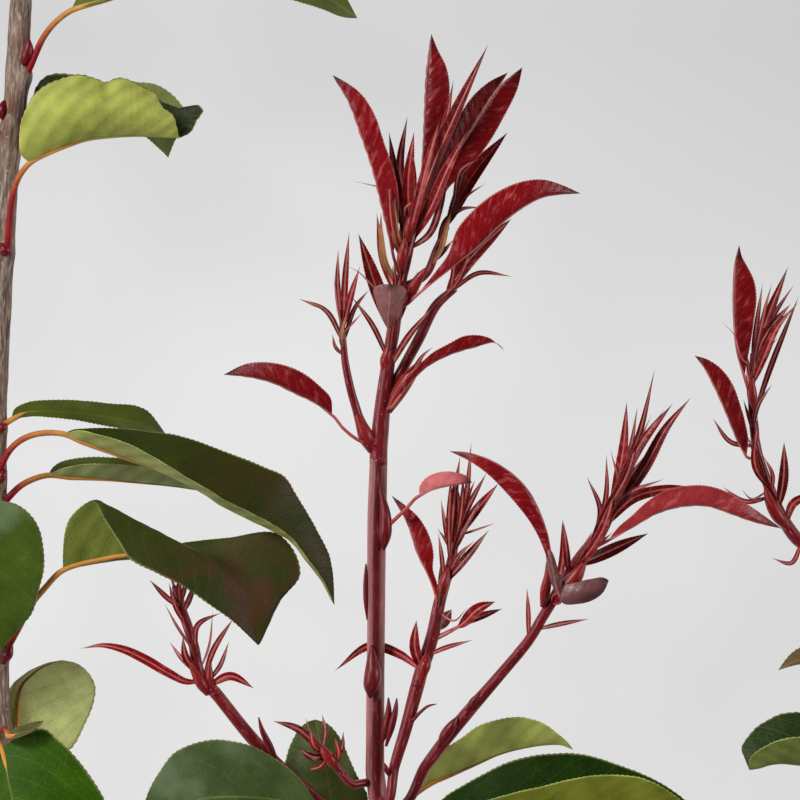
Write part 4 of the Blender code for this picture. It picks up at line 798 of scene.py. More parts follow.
@dataclass(frozen=True)
class OldLeafFinish:
    """A leathery green leaf: satin above with a pale rib, matt and yellower below."""

    name: str
    upper: Colour = (0.050, 0.075, 0.014)
    under: Colour = (0.23, 0.27, 0.065)
    rib: Colour = (0.30, 0.30, 0.07)
    stalk: Colour = (0.24, 0.009, 0.014)
    stalk_end: Colour = (0.56, 0.25, 0.055)
    warm_from: float = 0.10
    # How deep the painted shade along the underside's vein furrows is.
    painted_furrow_shade: float = 0.5
    # Painted gloss: how much of the upper side gets pale grey-green patches standing in for
    # reflections, and their colour.
    painted_gloss: float = 0.0
    painted_gloss_colour: Colour = (0.20, 0.26, 0.17)
    shine: float = 0.16
    tinge: Colour = (0.075, 0.030, 0.012)
    edge: Colour = (0.42, 0.44, 0.16)
    tinge_from: float = 0.45
    tinge_amount: float = 0.0
    vein: float = 0.16
    rib_shows: float = 0.25
    gloss: float = 0.34

    def material(self) -> bpy.types.Material:
        """Side veins are a folded wave of the way along less that across; cells are the net."""
        board = Board(self.name + "_leaf_finish")
        across, along, share = board.own("place")
        upper, tone, kind = board.own("look")
        flat = board.join(across, along, tone * 30.0)
        warp = board.spots(flat, 0.35, 2.0)
        side = abs(across)
        phase = (along - side * VEIN_LEAN - side * side * VEIN_BEND + warp * 1.6) / VEIN_STEP
        phase = phase + across.step(-0.01, 0.01) * -0.5
        vein = 1.0 - phase.wave().step(0.0, 0.05)
        net = 1.0 - board.cells(flat, 0.62).step(0.0, 0.10)
        fine_net = 1.0 - board.cells(flat, 1.7).step(0.0, 0.16)
        rib = 1.0 - side.step(0.10, 0.55)
        mottle = board.spots(board.place(), 0.09, 4.0, 0.6)
        grain = board.spots(flat, 2.2, 3.0)
        lines = vein * 0.7 + net * 0.30 + fine_net * 0.12
        top = board.mix(lines * (grain * 1.2) * self.vein, self.upper, self.rib)
        top = board.mix(rib * self.rib_shows, top, self.rib)
        patch = share.step(self.tinge_from, self.tinge_from + 0.25) * mottle.step(0.3, 0.62)
        patch = patch * self.tinge_amount
        top = board.mix(patch, top, self.tinge)
        # Painted gloss: clouds of pale grey-green laid over the upper side, standing in for soft
        # reflections.
        cloud = board.spots(board.place(), 0.06, 5.0, 0.6).step(0.46, 0.66)
        top = board.mix(cloud * self.painted_gloss, top, self.painted_gloss_colour)
        below = board.mix((vein * 0.6 + net * 0.35 + fine_net * 0.2) * 0.35, self.under, self.rib)
        # Painted shade: the underside is darker along the side veins' furrows and a little lighter
        # between them.
        below = board.shade(below, 1.0 + (phase.wave() - 0.45) * self.painted_furrow_shade)
        blade = board.mix(upper.step(0.35, 0.6), below, top)
        rim = (kind - 1.0).step(0.97, 1.0) * (mottle * 0.9 + 0.2).clamp()
        blade = board.mix(rim, blade, self.edge)
        warmth = ((share - self.warm_from) * 7.0 + mottle * 0.4 - 0.2).clamp()
        stalk = board.mix(warmth, self.stalk, self.stalk_end)
        stalk = board.mix(share.step(0.4, 0.7), stalk, board.mix(0.6, self.upper, self.rib))
        colour = board.mix(kind.step(0.4, 0.6), stalk, blade)
        colour = board.shade(colour, 0.22 + mottle * 1.35 + grain * 0.18 + tone * 0.1)
        board.relief(vein * -0.22 + net * -0.14 + fine_net * -0.08 + grain * 0.15, 0.6, 0.35)
        rough = self.gloss + 0.16 * grain + (1.0 - upper.step(0.35, 0.6)) * 0.18
        return board.finish(colour, rough, Specular_IOR_Level=self.shine)


@dataclass(frozen=True)
class YoungLeafFinish:
    """A glossy crimson young leaf: pink rib and edge, dusky below, almost black at its tip."""

    name: str = "young"
    upper: Colour = (0.245, 0.003, 0.007)
    dark: Colour = (0.055, 0.0005, 0.001)
    under: Colour = (0.30, 0.020, 0.028)
    rib: Colour = (0.70, 0.280, 0.240)
    foot: Colour = (0.36, 0.016, 0.018)
    pink: Colour = (0.62, 0.160, 0.165)
    gloss: float = 0.24

    def material(self) -> bpy.types.Material:
        """Tone sets how dark a leaf is, the share along its foot and tip; low tones are pink."""
        board = Board(self.name + "_leaf_finish")
        across, along, share = board.own("place")
        upper, tone, kind = board.own("look")
        flat = board.join(across, along, tone * 40.0)
        side = abs(across)
        warp = board.spots(flat, 0.5, 2.0)
        phase = (along - side * 0.9 + warp * 1.0) / 3.0
        vein = 1.0 - phase.wave().step(0.0, 0.09)
        net = 1.0 - board.cells(flat, 1.2).step(0.0, 0.12)
        rib = 1.0 - side.step(0.10, 0.42)
        mottle = board.spots(board.place(), 0.22, 4.0, 0.6)
        grain = board.spots(flat, 3.0, 2.0)
        top = board.mix((tone * 1.3 - 0.25 + mottle * 0.35).clamp(), self.upper, self.dark)
        top = board.mix(vein * 0.04 + net * 0.015 + rib * 0.45, top, self.rib)
        # Painted highlight: pale pink glints in bands between the side veins, fewer on dark leaves
        # and none on the rib.
        bands = board.join(phase * 1.3, side * 0.3, tone * 40.0)
        painted_glint = board.spots(bands, 1.0, 2.0, 0.6).step(0.52, 0.70) * (1.0 - rib) * (1.0 - tone)
        top = board.mix(painted_glint * 0.40, top, self.pink)
        top = board.mix(((0.12 - tone) * 9.0).clamp(), top, self.pink)
        below = board.mix((tone * 0.8 + mottle * 0.3 - 0.2).clamp(), self.under, self.dark)
        below = board.mix(rib * 0.6 + vein * 0.2, below, self.rib)
        blade = board.mix(upper.step(0.35, 0.6), below, top)
        blade = board.mix((kind - 1.0).step(0.95, 1.0) * 0.42, blade, self.rib)
        blade = board.mix((1.0 - share.step(0.0, 0.25)) * 0.45, blade, self.foot)
        stalk = board.mix((share * 1.4).clamp(), self.foot, self.rib)
        colour = board.mix(kind.step(0.4, 0.6), stalk, blade)
        colour = board.mix(share.step(0.84, 1.0) * 0.85, colour, (0.022, 0.002, 0.003))
        colour = board.shade(colour, 0.25 + mottle * 1.35 + grain * 0.15)
        board.relief(phase.wave() * 0.45 + net * -0.06 + grain * 0.10, 0.6, 0.35)
        return board.finish(colour, self.gloss + 0.08 * grain, Specular_IOR_Level=0.20)


@dataclass(frozen=True)
class RedStemFinish:
    """A smooth young stem: crimson with fine streaks, pale pores and dusky clouds, with a painted
    sheen: darker along its top and paler down its sides.
    """

    name: str = "young_stem"
    main: Colour = (0.27, 0.008, 0.014)
    # The dark colour is also the painted shade along the top; the light one is the pores, the
    # streaks and the painted sheen down the sides.
    dark: Colour = (0.045, 0.0005, 0.002)
    light: Colour = (0.62, 0.25, 0.25)
    gloss: float = 0.27
    painted_sheen: float = 0.08
    shine: float = 0.32

    def material(self) -> bpy.types.Material:
        """Streaks are noise by the way round and, drawn out, the way along."""
        board = Board(self.name + "_finish")
        around, along, _ = board.own("place")
        streak = board.spots(board.join(around, along * 0.12), 1.1, 4.0, 0.6)
        cloud = board.spots(board.place(), 0.12, 3.0)
        pores = 1.0 - board.cells(board.join(around, along * 0.45), 0.9, "F1").step(0.05, 0.16)
        colour = board.mix((streak * 1.5 - 0.45 + cloud * 0.3).clamp(), self.dark, self.main)
        colour = board.mix(pores * 0.5, colour, self.light)
        colour = board.mix(streak.step(0.56, 0.72) * 0.45, colour, self.light)
        # Painted sheen: the top of the stem, which faces up, is painted darker and its sides paler,
        # as if it were lit from both sides.
        crest = board.own("look")[0].step(0.82, 0.96)
        colour = board.mix(crest * self.painted_sheen, colour, self.dark)
        colour = board.mix((1.0 - crest) * self.painted_sheen, colour, self.light)
        board.relief(streak * 0.6 + pores * 0.3, 0.5, 0.15)
        return board.finish(colour, self.gloss + 0.2 * streak, Specular_IOR_Level=self.shine)


@dataclass(frozen=True)
class BarkFinish:
    """Grey-brown bark: paler ridges and dark cracks along the limb, with pale pores."""

    name: str = "bark"
    main: Colour = (0.26, 0.19, 0.145)
    pale: Colour = (0.45, 0.37, 0.30)
    dark: Colour = (0.095, 0.055, 0.040)
    flush: Colour = (0.22, 0.085, 0.055)

    def material(self) -> bpy.types.Material:
        """Cracks are noise drawn out along the limb; flecks of pale skin lie over them."""
        board = Board(self.name + "_finish")
        around, along, _ = board.own("place")
        streak = board.spots(board.join(around, along * 0.09), 1.0, 6.0, 0.65)
        fleck = board.spots(board.join(around, along * 0.16), 1.4, 5.0, 0.6)
        cloud = board.spots(board.place(), 0.06, 3.0)
        pores = 1.0 - board.cells(board.join(around * 0.6, along), 0.33, "F1").step(0.06, 0.14)
        colour = board.mix(streak.step(0.38, 0.62), self.dark, self.main)
        colour = board.mix(fleck.step(0.48, 0.68) * 0.8, colour, self.pale)
        colour = board.mix(cloud.step(0.45, 0.7) * 0.5, colour, self.flush)
        colour = board.mix(pores * 0.7, colour, self.pale)
        colour = board.shade(colour, 0.75 + fleck * 0.5)
        board.relief(streak * 1.0 + fleck * 0.5 + pores * 0.5, 0.8, 0.4)
        return board.finish(colour, 0.82, Specular_IOR_Level=0.3)


BUD_FINISH = RedStemFinish("bud", main=(0.24, 0.006, 0.010), light=(0.40, 0.08, 0.08))
SCALE_FINISH = RedStemFinish(
    "scale", main=(0.34, 0.012, 0.013), dark=(0.12, 0.003, 0.003), light=(0.60, 0.18, 0.14))
BRACT_FINISH = YoungLeafFinish(
    "bract", upper=(0.38, 0.20, 0.070), dark=(0.22, 0.07, 0.03), under=(0.21, 0.088, 0.084),
    rib=(0.42, 0.16, 0.13), pink=(0.21, 0.088, 0.084))
DUSK_FINISH = replace(
    BRACT_FINISH, name="dusk", under=(0.125, 0.048, 0.048), pink=(0.125, 0.048, 0.048))


@dataclass(frozen=True)
class FloorFinish:
    """A pale matt floor with a faint tooth, lit partly by itself so that shadows stay soft."""

    tone: float = 0.06
    glow: float = 0.745

    def material(self) -> bpy.types.Material:
        """The glow falls off slowly towards one corner, by Object coordinates."""
        board = Board("floor_finish")
        fine = board.spots(board.place(), 0.8, 2.0)
        x, y, _ = board.apart(board.place())
        fall = ((x + 30.0) * 0.005).clamp() * 0.14 + ((y - 20.0) * 0.010).clamp() * 0.15
        grain = board.mix(fine, (1.0,) * 3, (0.985,) * 3)
        light = board.shade(grain, self.glow * (1.0 - fall))
        colour = board.mix(fine, (self.tone,) * 3, (self.tone * 0.96,) * 3)
        board.tree.links.new(light.link, board.shader.inputs["Emission Color"])
        return board.finish(colour, 0.9, Emission_Strength=1.0, Specular_IOR_Level=0.1)


@dataclass
class Limb:
    """A tapering limb: its route with a radius at each point, its slot and its parent."""

    route: list[Point]
    slot: str
    parent: str | None = None


LIMBS = {
    "main_stem": Limb(
        [(-75, -240, 4.7, 4.6), (-87, -204, 12, 4.4), (-108, -165, 22, 4.1),
         (-118.5, -126, 31, 3.9), (-121.5, -75, 40, 3.75), (-121.5, 0, 46, 3.75),
         (-119.2, 47, 49, 3.7), (-117.5, 72, 50, 3.65), (-115, 93.5, 50.3, 3.5),
         (-113.5, 122, 50, 3.2), (-111, 165, 46, 2.2)], "bark"),
    "centre_bough": Limb(
        [(-72, -193, 16, 3.5), (-51, -174, 20, 3.4), (-20, -152, 29, 3.3), (-8.6, -132, 34.5, 3.1)],
        "bark", "main_stem"),
    "right_bough": Limb(
        [(-20, -171, 24, 2.8), (40, -166, 27, 2.7), (105, -146, 31, 2.5), (140, -112, 33, 2.2),
         (144, -86, 35, 2.0)], "bark", "centre_bough"),
    "centre_shoot": Limb(
        [(-7.5, -110, 38, 2.8), (-7.3, -75, 42, 2.7), (-6.8, -30, 47, 2.8),
         (-6.4, -17.5, 48.5, 2.7)], "red_stem", "centre_bough"),
    "inner_shoot": Limb(
        [(-4, -121, 42, 1.4), (-1.6, -110, 43, 1.6), (1.4, -100, 44, 1.8), (5.6, -84.5, 45, 2.1)],
        "red_stem", "centre_shoot"),
    "right_shoot": Limb(
        [(-0.5, -122.5, 35, 1.5), (7.9, -110, 37, 1.7), (17, -98, 39.5, 1.9), (28, -85, 42, 1.7),
         (36.5, -75, 44, 1.6)], "red_stem", "centre_shoot"),
    "far_right_shoot": Limb(
        [(141, -76, 37, 2.0), (136, -66, 40, 2.0), (129, -53, 42, 2.0), (123.5, -45.5, 43.5, 2.0)],
        "red_stem", "right_bough"),
    "left_shoot": Limb(
        [(-17, -125.5, 33, 1.8), (-30, -116, 33, 1.9), (-43, -103.5, 34, 1.9),
         (-56, -87.6, 36, 1.9)], "red_stem", "centre_shoot"),
    "low_shoot": Limb(
        [(-14, -115.5, 41.5, 1.3), (-18, -111.5, 43, 1.3)], "red_stem", "centre_shoot"),
}


@dataclass
class Old:
    """A leaf of last year: its limb, its finish, its form and how much it is crinkled."""

    limb: str
    finish: OldLeafFinish
    form: Led
    crinkle: float = 1.0


LEAVES = {
    "leaf_top": Old("main_stem", OldLeafFinish("top", upper=(0.085, 0.105, 0.018)), Led(
        stalk=[(-112.9, 97, 51), (-111, 99.4, 53), (-109.2, 103.5, 54.5), (-106.8, 108.5, 55.5),
               (-103.5, 112.7, 57), (-98.5, 116.5, 58)], guides=[
        [(-98.5, 116.5, 58), (-92, 118.9, 61), (-80, 121.2, 63), (-60, 122.8, 63.5), (-45, 122, 62),
         (-33, 120, 59.5), (-24, 117.4, 55.5), (-16.5, 114.7, 50.5), (-12.9, 114.5, 48)],
        [(-98.5, 116.5, 58), (-93.5, 118.3, 59.5), (-86.8, 120.3, 60.5), (-75, 124, 61.5),
         (-60, 127, 61.5), (-45, 127, 60), (-33, 125, 57), (-22, 120.5, 53), (-12.9, 114.6, 48)],
        [(-98.5, 116.5, 58), (-97, 120, 56.5), (-93, 127, 54), (-82, 135.5, 52.5), (-65, 140.5, 52),
         (-45, 139.5, 51), (-28, 133, 49.5), (-18, 123.5, 48.5), (-12.9, 114.8, 48)],
    ])),
    "leaf_folded": Old("main_stem",
        OldLeafFinish("folded", upper=(0.012, 0.024, 0.004), under=(0.37, 0.40, 0.075),
            rib=(0.52, 0.50, 0.16), warm_from=0.16),
        Led(
            stalk=[(-117.9, 43.5, 51), (-117.3, 48.5, 56), (-116.8, 54, 57.5), (-116, 60.3, 58.5),
                   (-114, 66.7, 59.5), (-110.7, 70.9, 60)], guides=[
            [(-110.7, 70.9, 60), (-113.2, 74, 62), (-113.6, 79, 64), (-112.2, 85.5, 66),
             (-109.4, 90.8, 67), (-105.4, 94.1, 67.5), (-100.1, 96.1, 68), (-96.1, 97.1, 68),
             (-91.5, 96.1, 67.5), (-88.1, 94.9, 66), (-84.2, 96.1, 67), (-80.2, 95.3, 66.5),
             (-76.9, 93.5, 66), (-73.5, 91.8, 65), (-70.9, 87.5, 64), (-67.6, 84.8, 62),
             (-66.6, 81.5, 60.5), (-66, 78.6, 59)],
            [(-110.7, 70.9, 60), (-110.5, 73.5, 63), (-108, 79, 66.5), (-104, 83, 68),
             (-98, 86, 69), (-91, 87.3, 69), (-84, 87.3, 68.5), (-77, 86, 67), (-71, 83, 64),
             (-66, 78.6, 59)],
            [(-110.7, 70.9, 60), (-106.7, 73.5, 61), (-100.1, 76.2, 61.5), (-93.5, 78.2, 61.5),
             (-86.8, 78.9, 61.5), (-80.2, 79.2, 61), (-72.2, 78.9, 60), (-66, 78.5, 58.5)],
            [(-110.7, 70.9, 59.5), (-110, 74.5, 57), (-107.5, 80, 54.5), (-103, 85, 52.5),
             (-97, 87.5, 52), (-90, 88, 51.5), (-82, 87.5, 51.5), (-74, 86, 52), (-68, 83, 54),
             (-65, 79.5, 57)],
            [(-110.7, 70.9, 59), (-112.5, 76, 55), (-112.3, 84, 51), (-110.3, 90.8, 49.5),
             (-109, 94.1, 49), (-106.7, 96.8, 48.5), (-102.8, 98, 48), (-98.1, 97.6, 48),
             (-92, 96, 48), (-84, 94.3, 48), (-76, 92, 48.5), (-70, 89, 49.5), (-65, 87.3, 51.5),
             (-60.3, 88.3, 53), (-59.1, 86.8, 54), (-60.9, 83.5, 55.5), (-62.6, 80.2, 57),
             (-65.5, 78.4, 58.5)],
        ]), crinkle=3.2),
    "leaf_behind": Old("main_stem",
        OldLeafFinish("behind", upper=(0.17, 0.20, 0.060), rib_shows=0.0, vein=0.05), Led(
        stalk=[(-115.5, 77.5, 45), (-113, 80.3, 43.5), (-108.5, 83.8, 42)], guides=[
        [(-108.5, 83.8, 42), (-99, 82.8, 40), (-90, 82.2, 38.5), (-82, 81.3, 37), (-76.5, 79.2, 36),
         (-73, 76.2, 34.5), (-69.9, 73.1, 33.2)],
        [(-108.5, 83.8, 42), (-100, 87.5, 40.5), (-90, 89.5, 39), (-80, 88.3, 37.5),
         (-73, 83, 35.5), (-69.8, 73, 33)],
        [(-108.5, 83.8, 42), (-98, 92.5, 40), (-88, 95.2, 38), (-78.5, 95.5, 37),
         (-74.2, 95.1, 36.5), (-70.2, 93.1, 36), (-66.9, 90.1, 35.5), (-64.8, 86.7, 35),
         (-65.7, 82, 34.5), (-68, 77.5, 34), (-69.8, 73, 33)],
    ])),
    "leaf_upper_mid": Old("main_stem",
        OldLeafFinish("upper_mid", upper=(0.058, 0.074, 0.006), rib_shows=0.08, vein=0.06), Led(
        stalk=[(-119.8, -8.6, 48), (-118.6, -7.2, 49.6), (-116.6, -6.0, 49.8)], guides=[
        [(-116.6, -6.0, 49.8), (-114.3, -5.5, 49.8), (-109.7, -4.9, 49), (-104.5, -5, 48),
         (-99.5, -5.5, 46.5), (-89.2, -7.5, 43), (-80, -9.3, 39), (-71.8, -12.5, 34),
         (-66, -16, 31)],
        [(-116.6, -6.0, 49.8), (-113.5, -4.2, 48.8), (-109, -3.6, 47.5), (-104, -3.6, 46.5),
         (-97, -4, 45), (-88, -5.2, 42), (-79, -7.2, 38), (-71, -11.2, 33.5), (-66, -16, 30.5)],
        [(-116.6, -6.0, 49.8), (-115.6, -2.6, 47), (-111.8, -0.7, 45.5), (-104.6, 0, 43.5),
         (-94.4, -0.2, 41), (-86.2, -1, 38.5), (-79, -1.8, 36), (-75.9, -3.3, 35),
         (-73.3, -6.4, 34), (-70.5, -10.5, 32.5), (-66, -16, 30)],
    ])),
    "leaf_long": Old("main_stem",
        OldLeafFinish("long", upper=(0.026, 0.036, 0.002), under=(0.34, 0.37, 0.11),
            tinge=(0.040, 0.016, 0.004), tinge_amount=0.6, tinge_from=0.4, vein=0.05,
            warm_from=0.09), Led(
        stalk=[(-119.6, -23, 49), (-119.2, -19.2, 52), (-117.2, -15.4, 53), (-114.4, -12.6, 54),
               (-110.4, -10.6, 54.8), (-104.6, -9.8, 55.5), (-100.5, -10.2, 56)], guides=[
        [(-100.5, -10.2, 56), (-96.4, -9.2, 59), (-89.2, -10.5, 63), (-81, -13, 65),
         (-74.9, -16.1, 65.5), (-68.7, -19.7, 65.5), (-62.6, -23.8, 65), (-57, -27.3, 64.5),
         (-53.4, -29.8, 63.5), (-46.2, -33.2, 61.5), (-38, -37.3, 58.5), (-33, -40.9, 56),
         (-27.8, -47.6, 51.5), (-23.7, -53.4, 47.5), (-19.7, -61.7, 42)],
        [(-100.5, -10.2, 55.6), (-95.4, -12.2, 55.6), (-89.2, -14.3, 55.6), (-81, -17.3, 55.6),
         (-73.9, -20, 55.5), (-66.7, -23.1, 55.2), (-58.5, -27.3, 55), (-53.4, -30.6, 54.5),
         (-46.2, -34.3, 53.5), (-38, -38.5, 52), (-32.9, -41.5, 50.5), (-27.7, -48, 48),
         (-23.6, -53.6, 45.5), (-19.7, -61.7, 42)],
        [(-100.5, -10, 55.2), (-98, -8.8, 53.5), (-94.4, -8.5, 52.5), (-84.1, -8.5, 51),
         (-74.9, -9.4, 50.5), (-66.7, -10.5, 50), (-61.6, -12, 50), (-52.3, -15.6, 49.5),
         (-46.2, -17.9, 49), (-40, -20.5, 48), (-34.9, -22.8, 47), (-30.8, -28.9, 45.5),
         (-27.2, -35.1, 44.5), (-24.1, -41.2, 43.5), (-21.6, -46.4, 42.8), (-20.3, -52.5, 42.2),
         (-19.7, -61.7, 42)],
    ])),
    "leaf_lower_mid": Old("main_stem",
        OldLeafFinish("lower_mid", upper=(0.055, 0.070, 0.012), under=(0.30, 0.34, 0.13),
            vein=0.06), Led(
        stalk=[(-118.9, -31.5, 46), (-117.2, -29.0, 47.5), (-113.9, -25.8, 46.5),
               (-109.7, -23.6, 45), (-105.7, -22.6, 43.5)], guides=[
        [(-105.7, -22.6, 43.5), (-102, -20.8, 44.5), (-99.5, -20, 45.5), (-94.4, -19.2, 46.5),
         (-84.1, -19.2, 46.5), (-73.9, -20.2, 45.5), (-64, -22.5, 43), (-54, -26, 40),
         (-42, -31, 35)],
        [(-105.7, -22.6, 43.2), (-99, -22.9, 42), (-89.2, -23.4, 41), (-79, -24.4, 40),
         (-68.7, -25.5, 39), (-58.5, -27.2, 37), (-50, -28.8, 35.5), (-42, -31, 34)],
        [(-105.7, -22.6, 42.8), (-104.5, -20.3, 41), (-102.6, -18.9, 39.5), (-97.4, -17.7, 38),
         (-89.2, -17.4, 37), (-82.1, -17.8, 36), (-75.9, -18.8, 35.5), (-66, -20.5, 35),
         (-54, -25, 34), (-42, -31, 33.5)],
    ])),
    "leaf_twisted": Old("main_stem",
        OldLeafFinish("twisted", upper=(0.030, 0.042, 0.004), under=(0.15, 0.18, 0.026),
            tinge=(0.052, 0.024, 0.009), tinge_amount=1.1, tinge_from=0.58, vein=0.025,
            rib_shows=0.05, warm_from=0.04), Led(
        stalk=[(-117.6, -76, 42), (-114.5, -68.5, 46), (-110, -60.5, 49), (-107, -57, 50),
               (-101, -51, 52)], guides=[
        [(-101, -51, 52), (-101, -46, 53), (-98.5, -35, 55), (-92, -30.3, 57), (-88, -36.5, 61),
         (-84.5, -42, 62), (-81, -47.3, 62), (-73, -51.5, 62), (-65, -55.5, 61), (-57, -61, 60),
         (-50, -66, 58), (-42.5, -73.5, 54)],
        [(-101, -51, 52), (-99, -47, 53), (-95.5, -38, 54), (-91, -31.5, 56), (-84, -33.5, 58),
         (-76, -37.8, 58), (-68, -42.3, 58), (-58, -48, 58), (-50, -56, 57), (-42.4, -73.3, 54)],
        [(-101, -51, 52), (-95, -48.8, 52), (-90, -47.8, 52), (-85, -46.8, 52), (-80, -46.2, 52),
         (-72, -46, 52), (-62, -46.5, 53), (-50, -50, 54), (-44, -60, 55), (-42.3, -73.2, 54)],
        [(-101, -51, 51.8), (-95, -49, 51), (-88, -47.8, 50.5), (-80, -47, 50.5), (-70, -45.5, 51),
         (-58, -44, 52), (-45, -45, 53), (-38, -52, 54), (-38, -60, 54.5), (-42.1, -73.1, 53.8)],
        [(-101, -51, 51.6), (-94, -49.8, 50), (-86, -48.6, 49), (-80, -47.6, 49), (-68, -43.5, 50),
         (-52, -41.3, 51), (-36, -40.6, 52), (-31, -47, 52), (-30, -52, 52.5), (-36, -60, 53),
         (-42, -73, 53.6)],
    ])),
    "leaf_front": Old("main_stem",
        OldLeafFinish("front", upper=(0.054, 0.092, 0.007), vein=0.12, painted_gloss=0.30), Led(
        stalk=[(-124, -17, 49), (-126, -21, 53), (-126.5, -26, 56)], guides=[
        [(-126.5, -26, 56), (-132, -28, 55.5), (-138, -33, 55), (-142.5, -41, 55), (-143, -51, 55),
         (-140, -60, 54.5), (-133, -68.5, 54), (-119.8, -75, 53)],
        [(-126.5, -26, 56), (-126.6, -34, 59), (-125.8, -44, 60.5), (-124.8, -54, 60),
         (-123, -64, 57.5), (-119.7, -75, 53)],
        [(-126.5, -26, 56), (-122.5, -28.6, 56.5), (-119.5, -30, 57.5), (-114.9, -31.2, 58),
         (-110.8, -34.2, 58.5), (-108.2, -38.2, 58.5), (-106.8, -44.3, 58), (-106.6, -50.5, 57),
         (-108.1, -56.8, 56), (-110.3, -64, 55), (-114.8, -69.3, 54), (-118, -73.2, 53.3),
         (-119.6, -75, 53)],
    ])),
    "leaf_pale": Old("main_stem",
        OldLeafFinish("pale", under=(0.50, 0.55, 0.21), rib=(0.30, 0.09, 0.05), vein=0.1,
            painted_furrow_shade=0.1), Led(
        stalk=[(-118.2, -113, 31.5), (-117.2, -109.5, 29.5), (-116.2, -104, 29)], guides=[
        [(-116.2, -104, 29), (-120, -100, 28), (-121.5, -94, 28), (-119.5, -88, 28),
         (-115.5, -85.2, 29), (-110.5, -82.2, 29.5), (-106, -79.7, 30), (-101.6, -78.4, 30)],
        [(-116.2, -104, 29), (-115.3, -98, 30.5), (-114.8, -90, 31.5), (-113.8, -86, 32),
         (-111, -82.9, 32), (-106.7, -80, 31.5), (-101.6, -78.4, 30)],
        [(-116.2, -104, 29), (-112, -108.5, 27), (-105, -108.5, 26), (-99.3, -105, 26),
         (-95.3, -98, 26.5), (-92.4, -90.6, 27), (-92, -86.5, 27.5), (-93.9, -82.4, 28),
         (-97.4, -79.4, 29), (-101.6, -78.4, 30)],
    ])),
    "leaf_edge_on": Old("main_stem",
        OldLeafFinish("edge_on", upper=(0.07, 0.065, 0.02), under=(0.16, 0.12, 0.04)), Led(
        stalk=[(-119, -99.5, 42), (-117.9, -99.6, 47), (-117.2, -100.8, 52)], guides=[
        [(-117.2, -100.8, 52), (-114.3, -100.9, 56), (-110.5, -99.4, 57), (-106.5, -96.1, 56)],
        [(-117.2, -100.8, 52), (-114.1, -100, 54.7), (-110.5, -99, 55.5), (-106.5, -96.1, 55.6)],
        [(-117.2, -100.8, 52), (-115.8, -98.6, 52.8), (-112.5, -97.4, 53.5), (-109, -96.4, 54.5),
         (-106.5, -96.1, 55.2)],
    ])),
    "leaf_bright": Old("main_stem",
        OldLeafFinish("bright", upper=(0.024, 0.076, 0.001), vein=0.26, shine=0.08), Led(
        stalk=[(-122, -100.5, 43), (-121, -101.8, 46.5), (-119.6, -104.5, 48)], guides=[
        [(-119.6, -104.5, 48), (-124, -104.5, 48), (-131, -109, 48.5), (-137, -118, 49),
         (-139, -131, 50), (-135, -147, 49), (-122, -162, 45), (-100, -171, 40)],
        [(-119.6, -104.5, 48), (-118.6, -108, 49.5), (-117.2, -115, 51.5), (-115.5, -122, 53),
         (-112, -134, 54), (-107, -148, 51), (-100, -171, 40)],
        [(-119.6, -104.5, 48), (-117, -102.9, 48.6), (-113.9, -100.8, 49.4), (-109.7, -98.9, 50.2),
         (-107.2, -98.6, 50.8), (-102.6, -101.9, 51.4), (-97.4, -107, 52), (-93.3, -112.2, 52),
         (-89.2, -118.8, 51.5), (-85.5, -128, 50.5), (-85, -142, 48), (-90, -158, 44),
         (-100, -171, 40)],
    ])),
    "leaf_low_left": Old("centre_shoot",
        OldLeafFinish("low_left", upper=(0.038, 0.064, 0.014), vein=0.20, gloss=0.42, painted_gloss=0.17),
        Led(stalk=[(-11.5, -127.5, 39), (-15.5, -127.5, 43), (-22, -124.8, 46)], guides=[
            [(-22, -124.8, 46), (-25.5, -120.5, 46.5), (-28.7, -115.5, 47), (-32.9, -111.1, 47.5),
             (-38, -107.3, 48), (-44.1, -104.1, 48), (-50.3, -102.5, 48), (-56.4, -102.1, 48),
             (-62.6, -103.5, 48), (-67.7, -106, 47.5), (-71.8, -111.1, 47), (-74.9, -116.3, 46.5),
             (-77.5, -124, 45), (-80, -134, 43)],
            [(-22, -124.8, 46), (-30, -121.5, 48.5), (-40, -119.5, 50.5), (-50, -118.9, 51.5),
             (-60, -119.8, 51), (-68, -123, 49.5), (-75, -128.5, 46.5), (-80, -134, 43)],
            [(-22, -124.8, 46), (-29, -131, 46), (-40, -136, 47), (-52, -138, 48),
             (-63, -138.5, 47.5), (-72, -138, 46), (-80, -134, 43)],
        ])),
    "leaf_low_behind": Old("centre_bough",
        OldLeafFinish("low_behind", upper=(0.046, 0.062, 0.010), painted_gloss=0.22, rib_shows=0.1), Led(
        stalk=[(-19, -148, 27.5), (-19.3, -138, 26.5), (-19.5, -130, 27)], guides=[
        [(-19.5, -130, 27), (-13, -127, 27), (-10, -119, 27), (-12, -115.5, 27), (-14, -111.5, 27),
         (-15.7, -107.5, 27), (-17.2, -103.8, 27), (-19.3, -100.3, 26.5), (-22, -97.6, 26),
         (-25.5, -96.4, 24.5)],
        [(-19.5, -130, 27), (-20.5, -122, 28.5), (-22, -113, 29.5), (-24, -104, 28.5),
         (-25.5, -96.4, 24.5)],
        [(-19.5, -130, 27), (-29, -127, 26.5), (-34, -119, 26.5), (-35, -112, 26.5),
         (-34.3, -108, 26.5), (-32.8, -103.5, 26.5), (-30.5, -99.6, 26), (-28, -97.2, 25.5),
         (-25.5, -96.4, 24.5)],
    ])),
    "leaf_low_right": Old("centre_bough",
        OldLeafFinish("low_right", upper=(0.06, 0.085, 0.012), under=(0.38, 0.42, 0.10),
            painted_furrow_shade=0.3), Led(
        stalk=[(-6.5, -133.5, 31.5), (-3, -129.5, 27.5), (0, -125, 25.5), (4, -119.5, 24)], guides=[
        [(4, -119.5, 24), (4.5, -114, 26), (8, -109, 28), (13, -105.4, 29.5), (18.6, -101.7, 30.5),
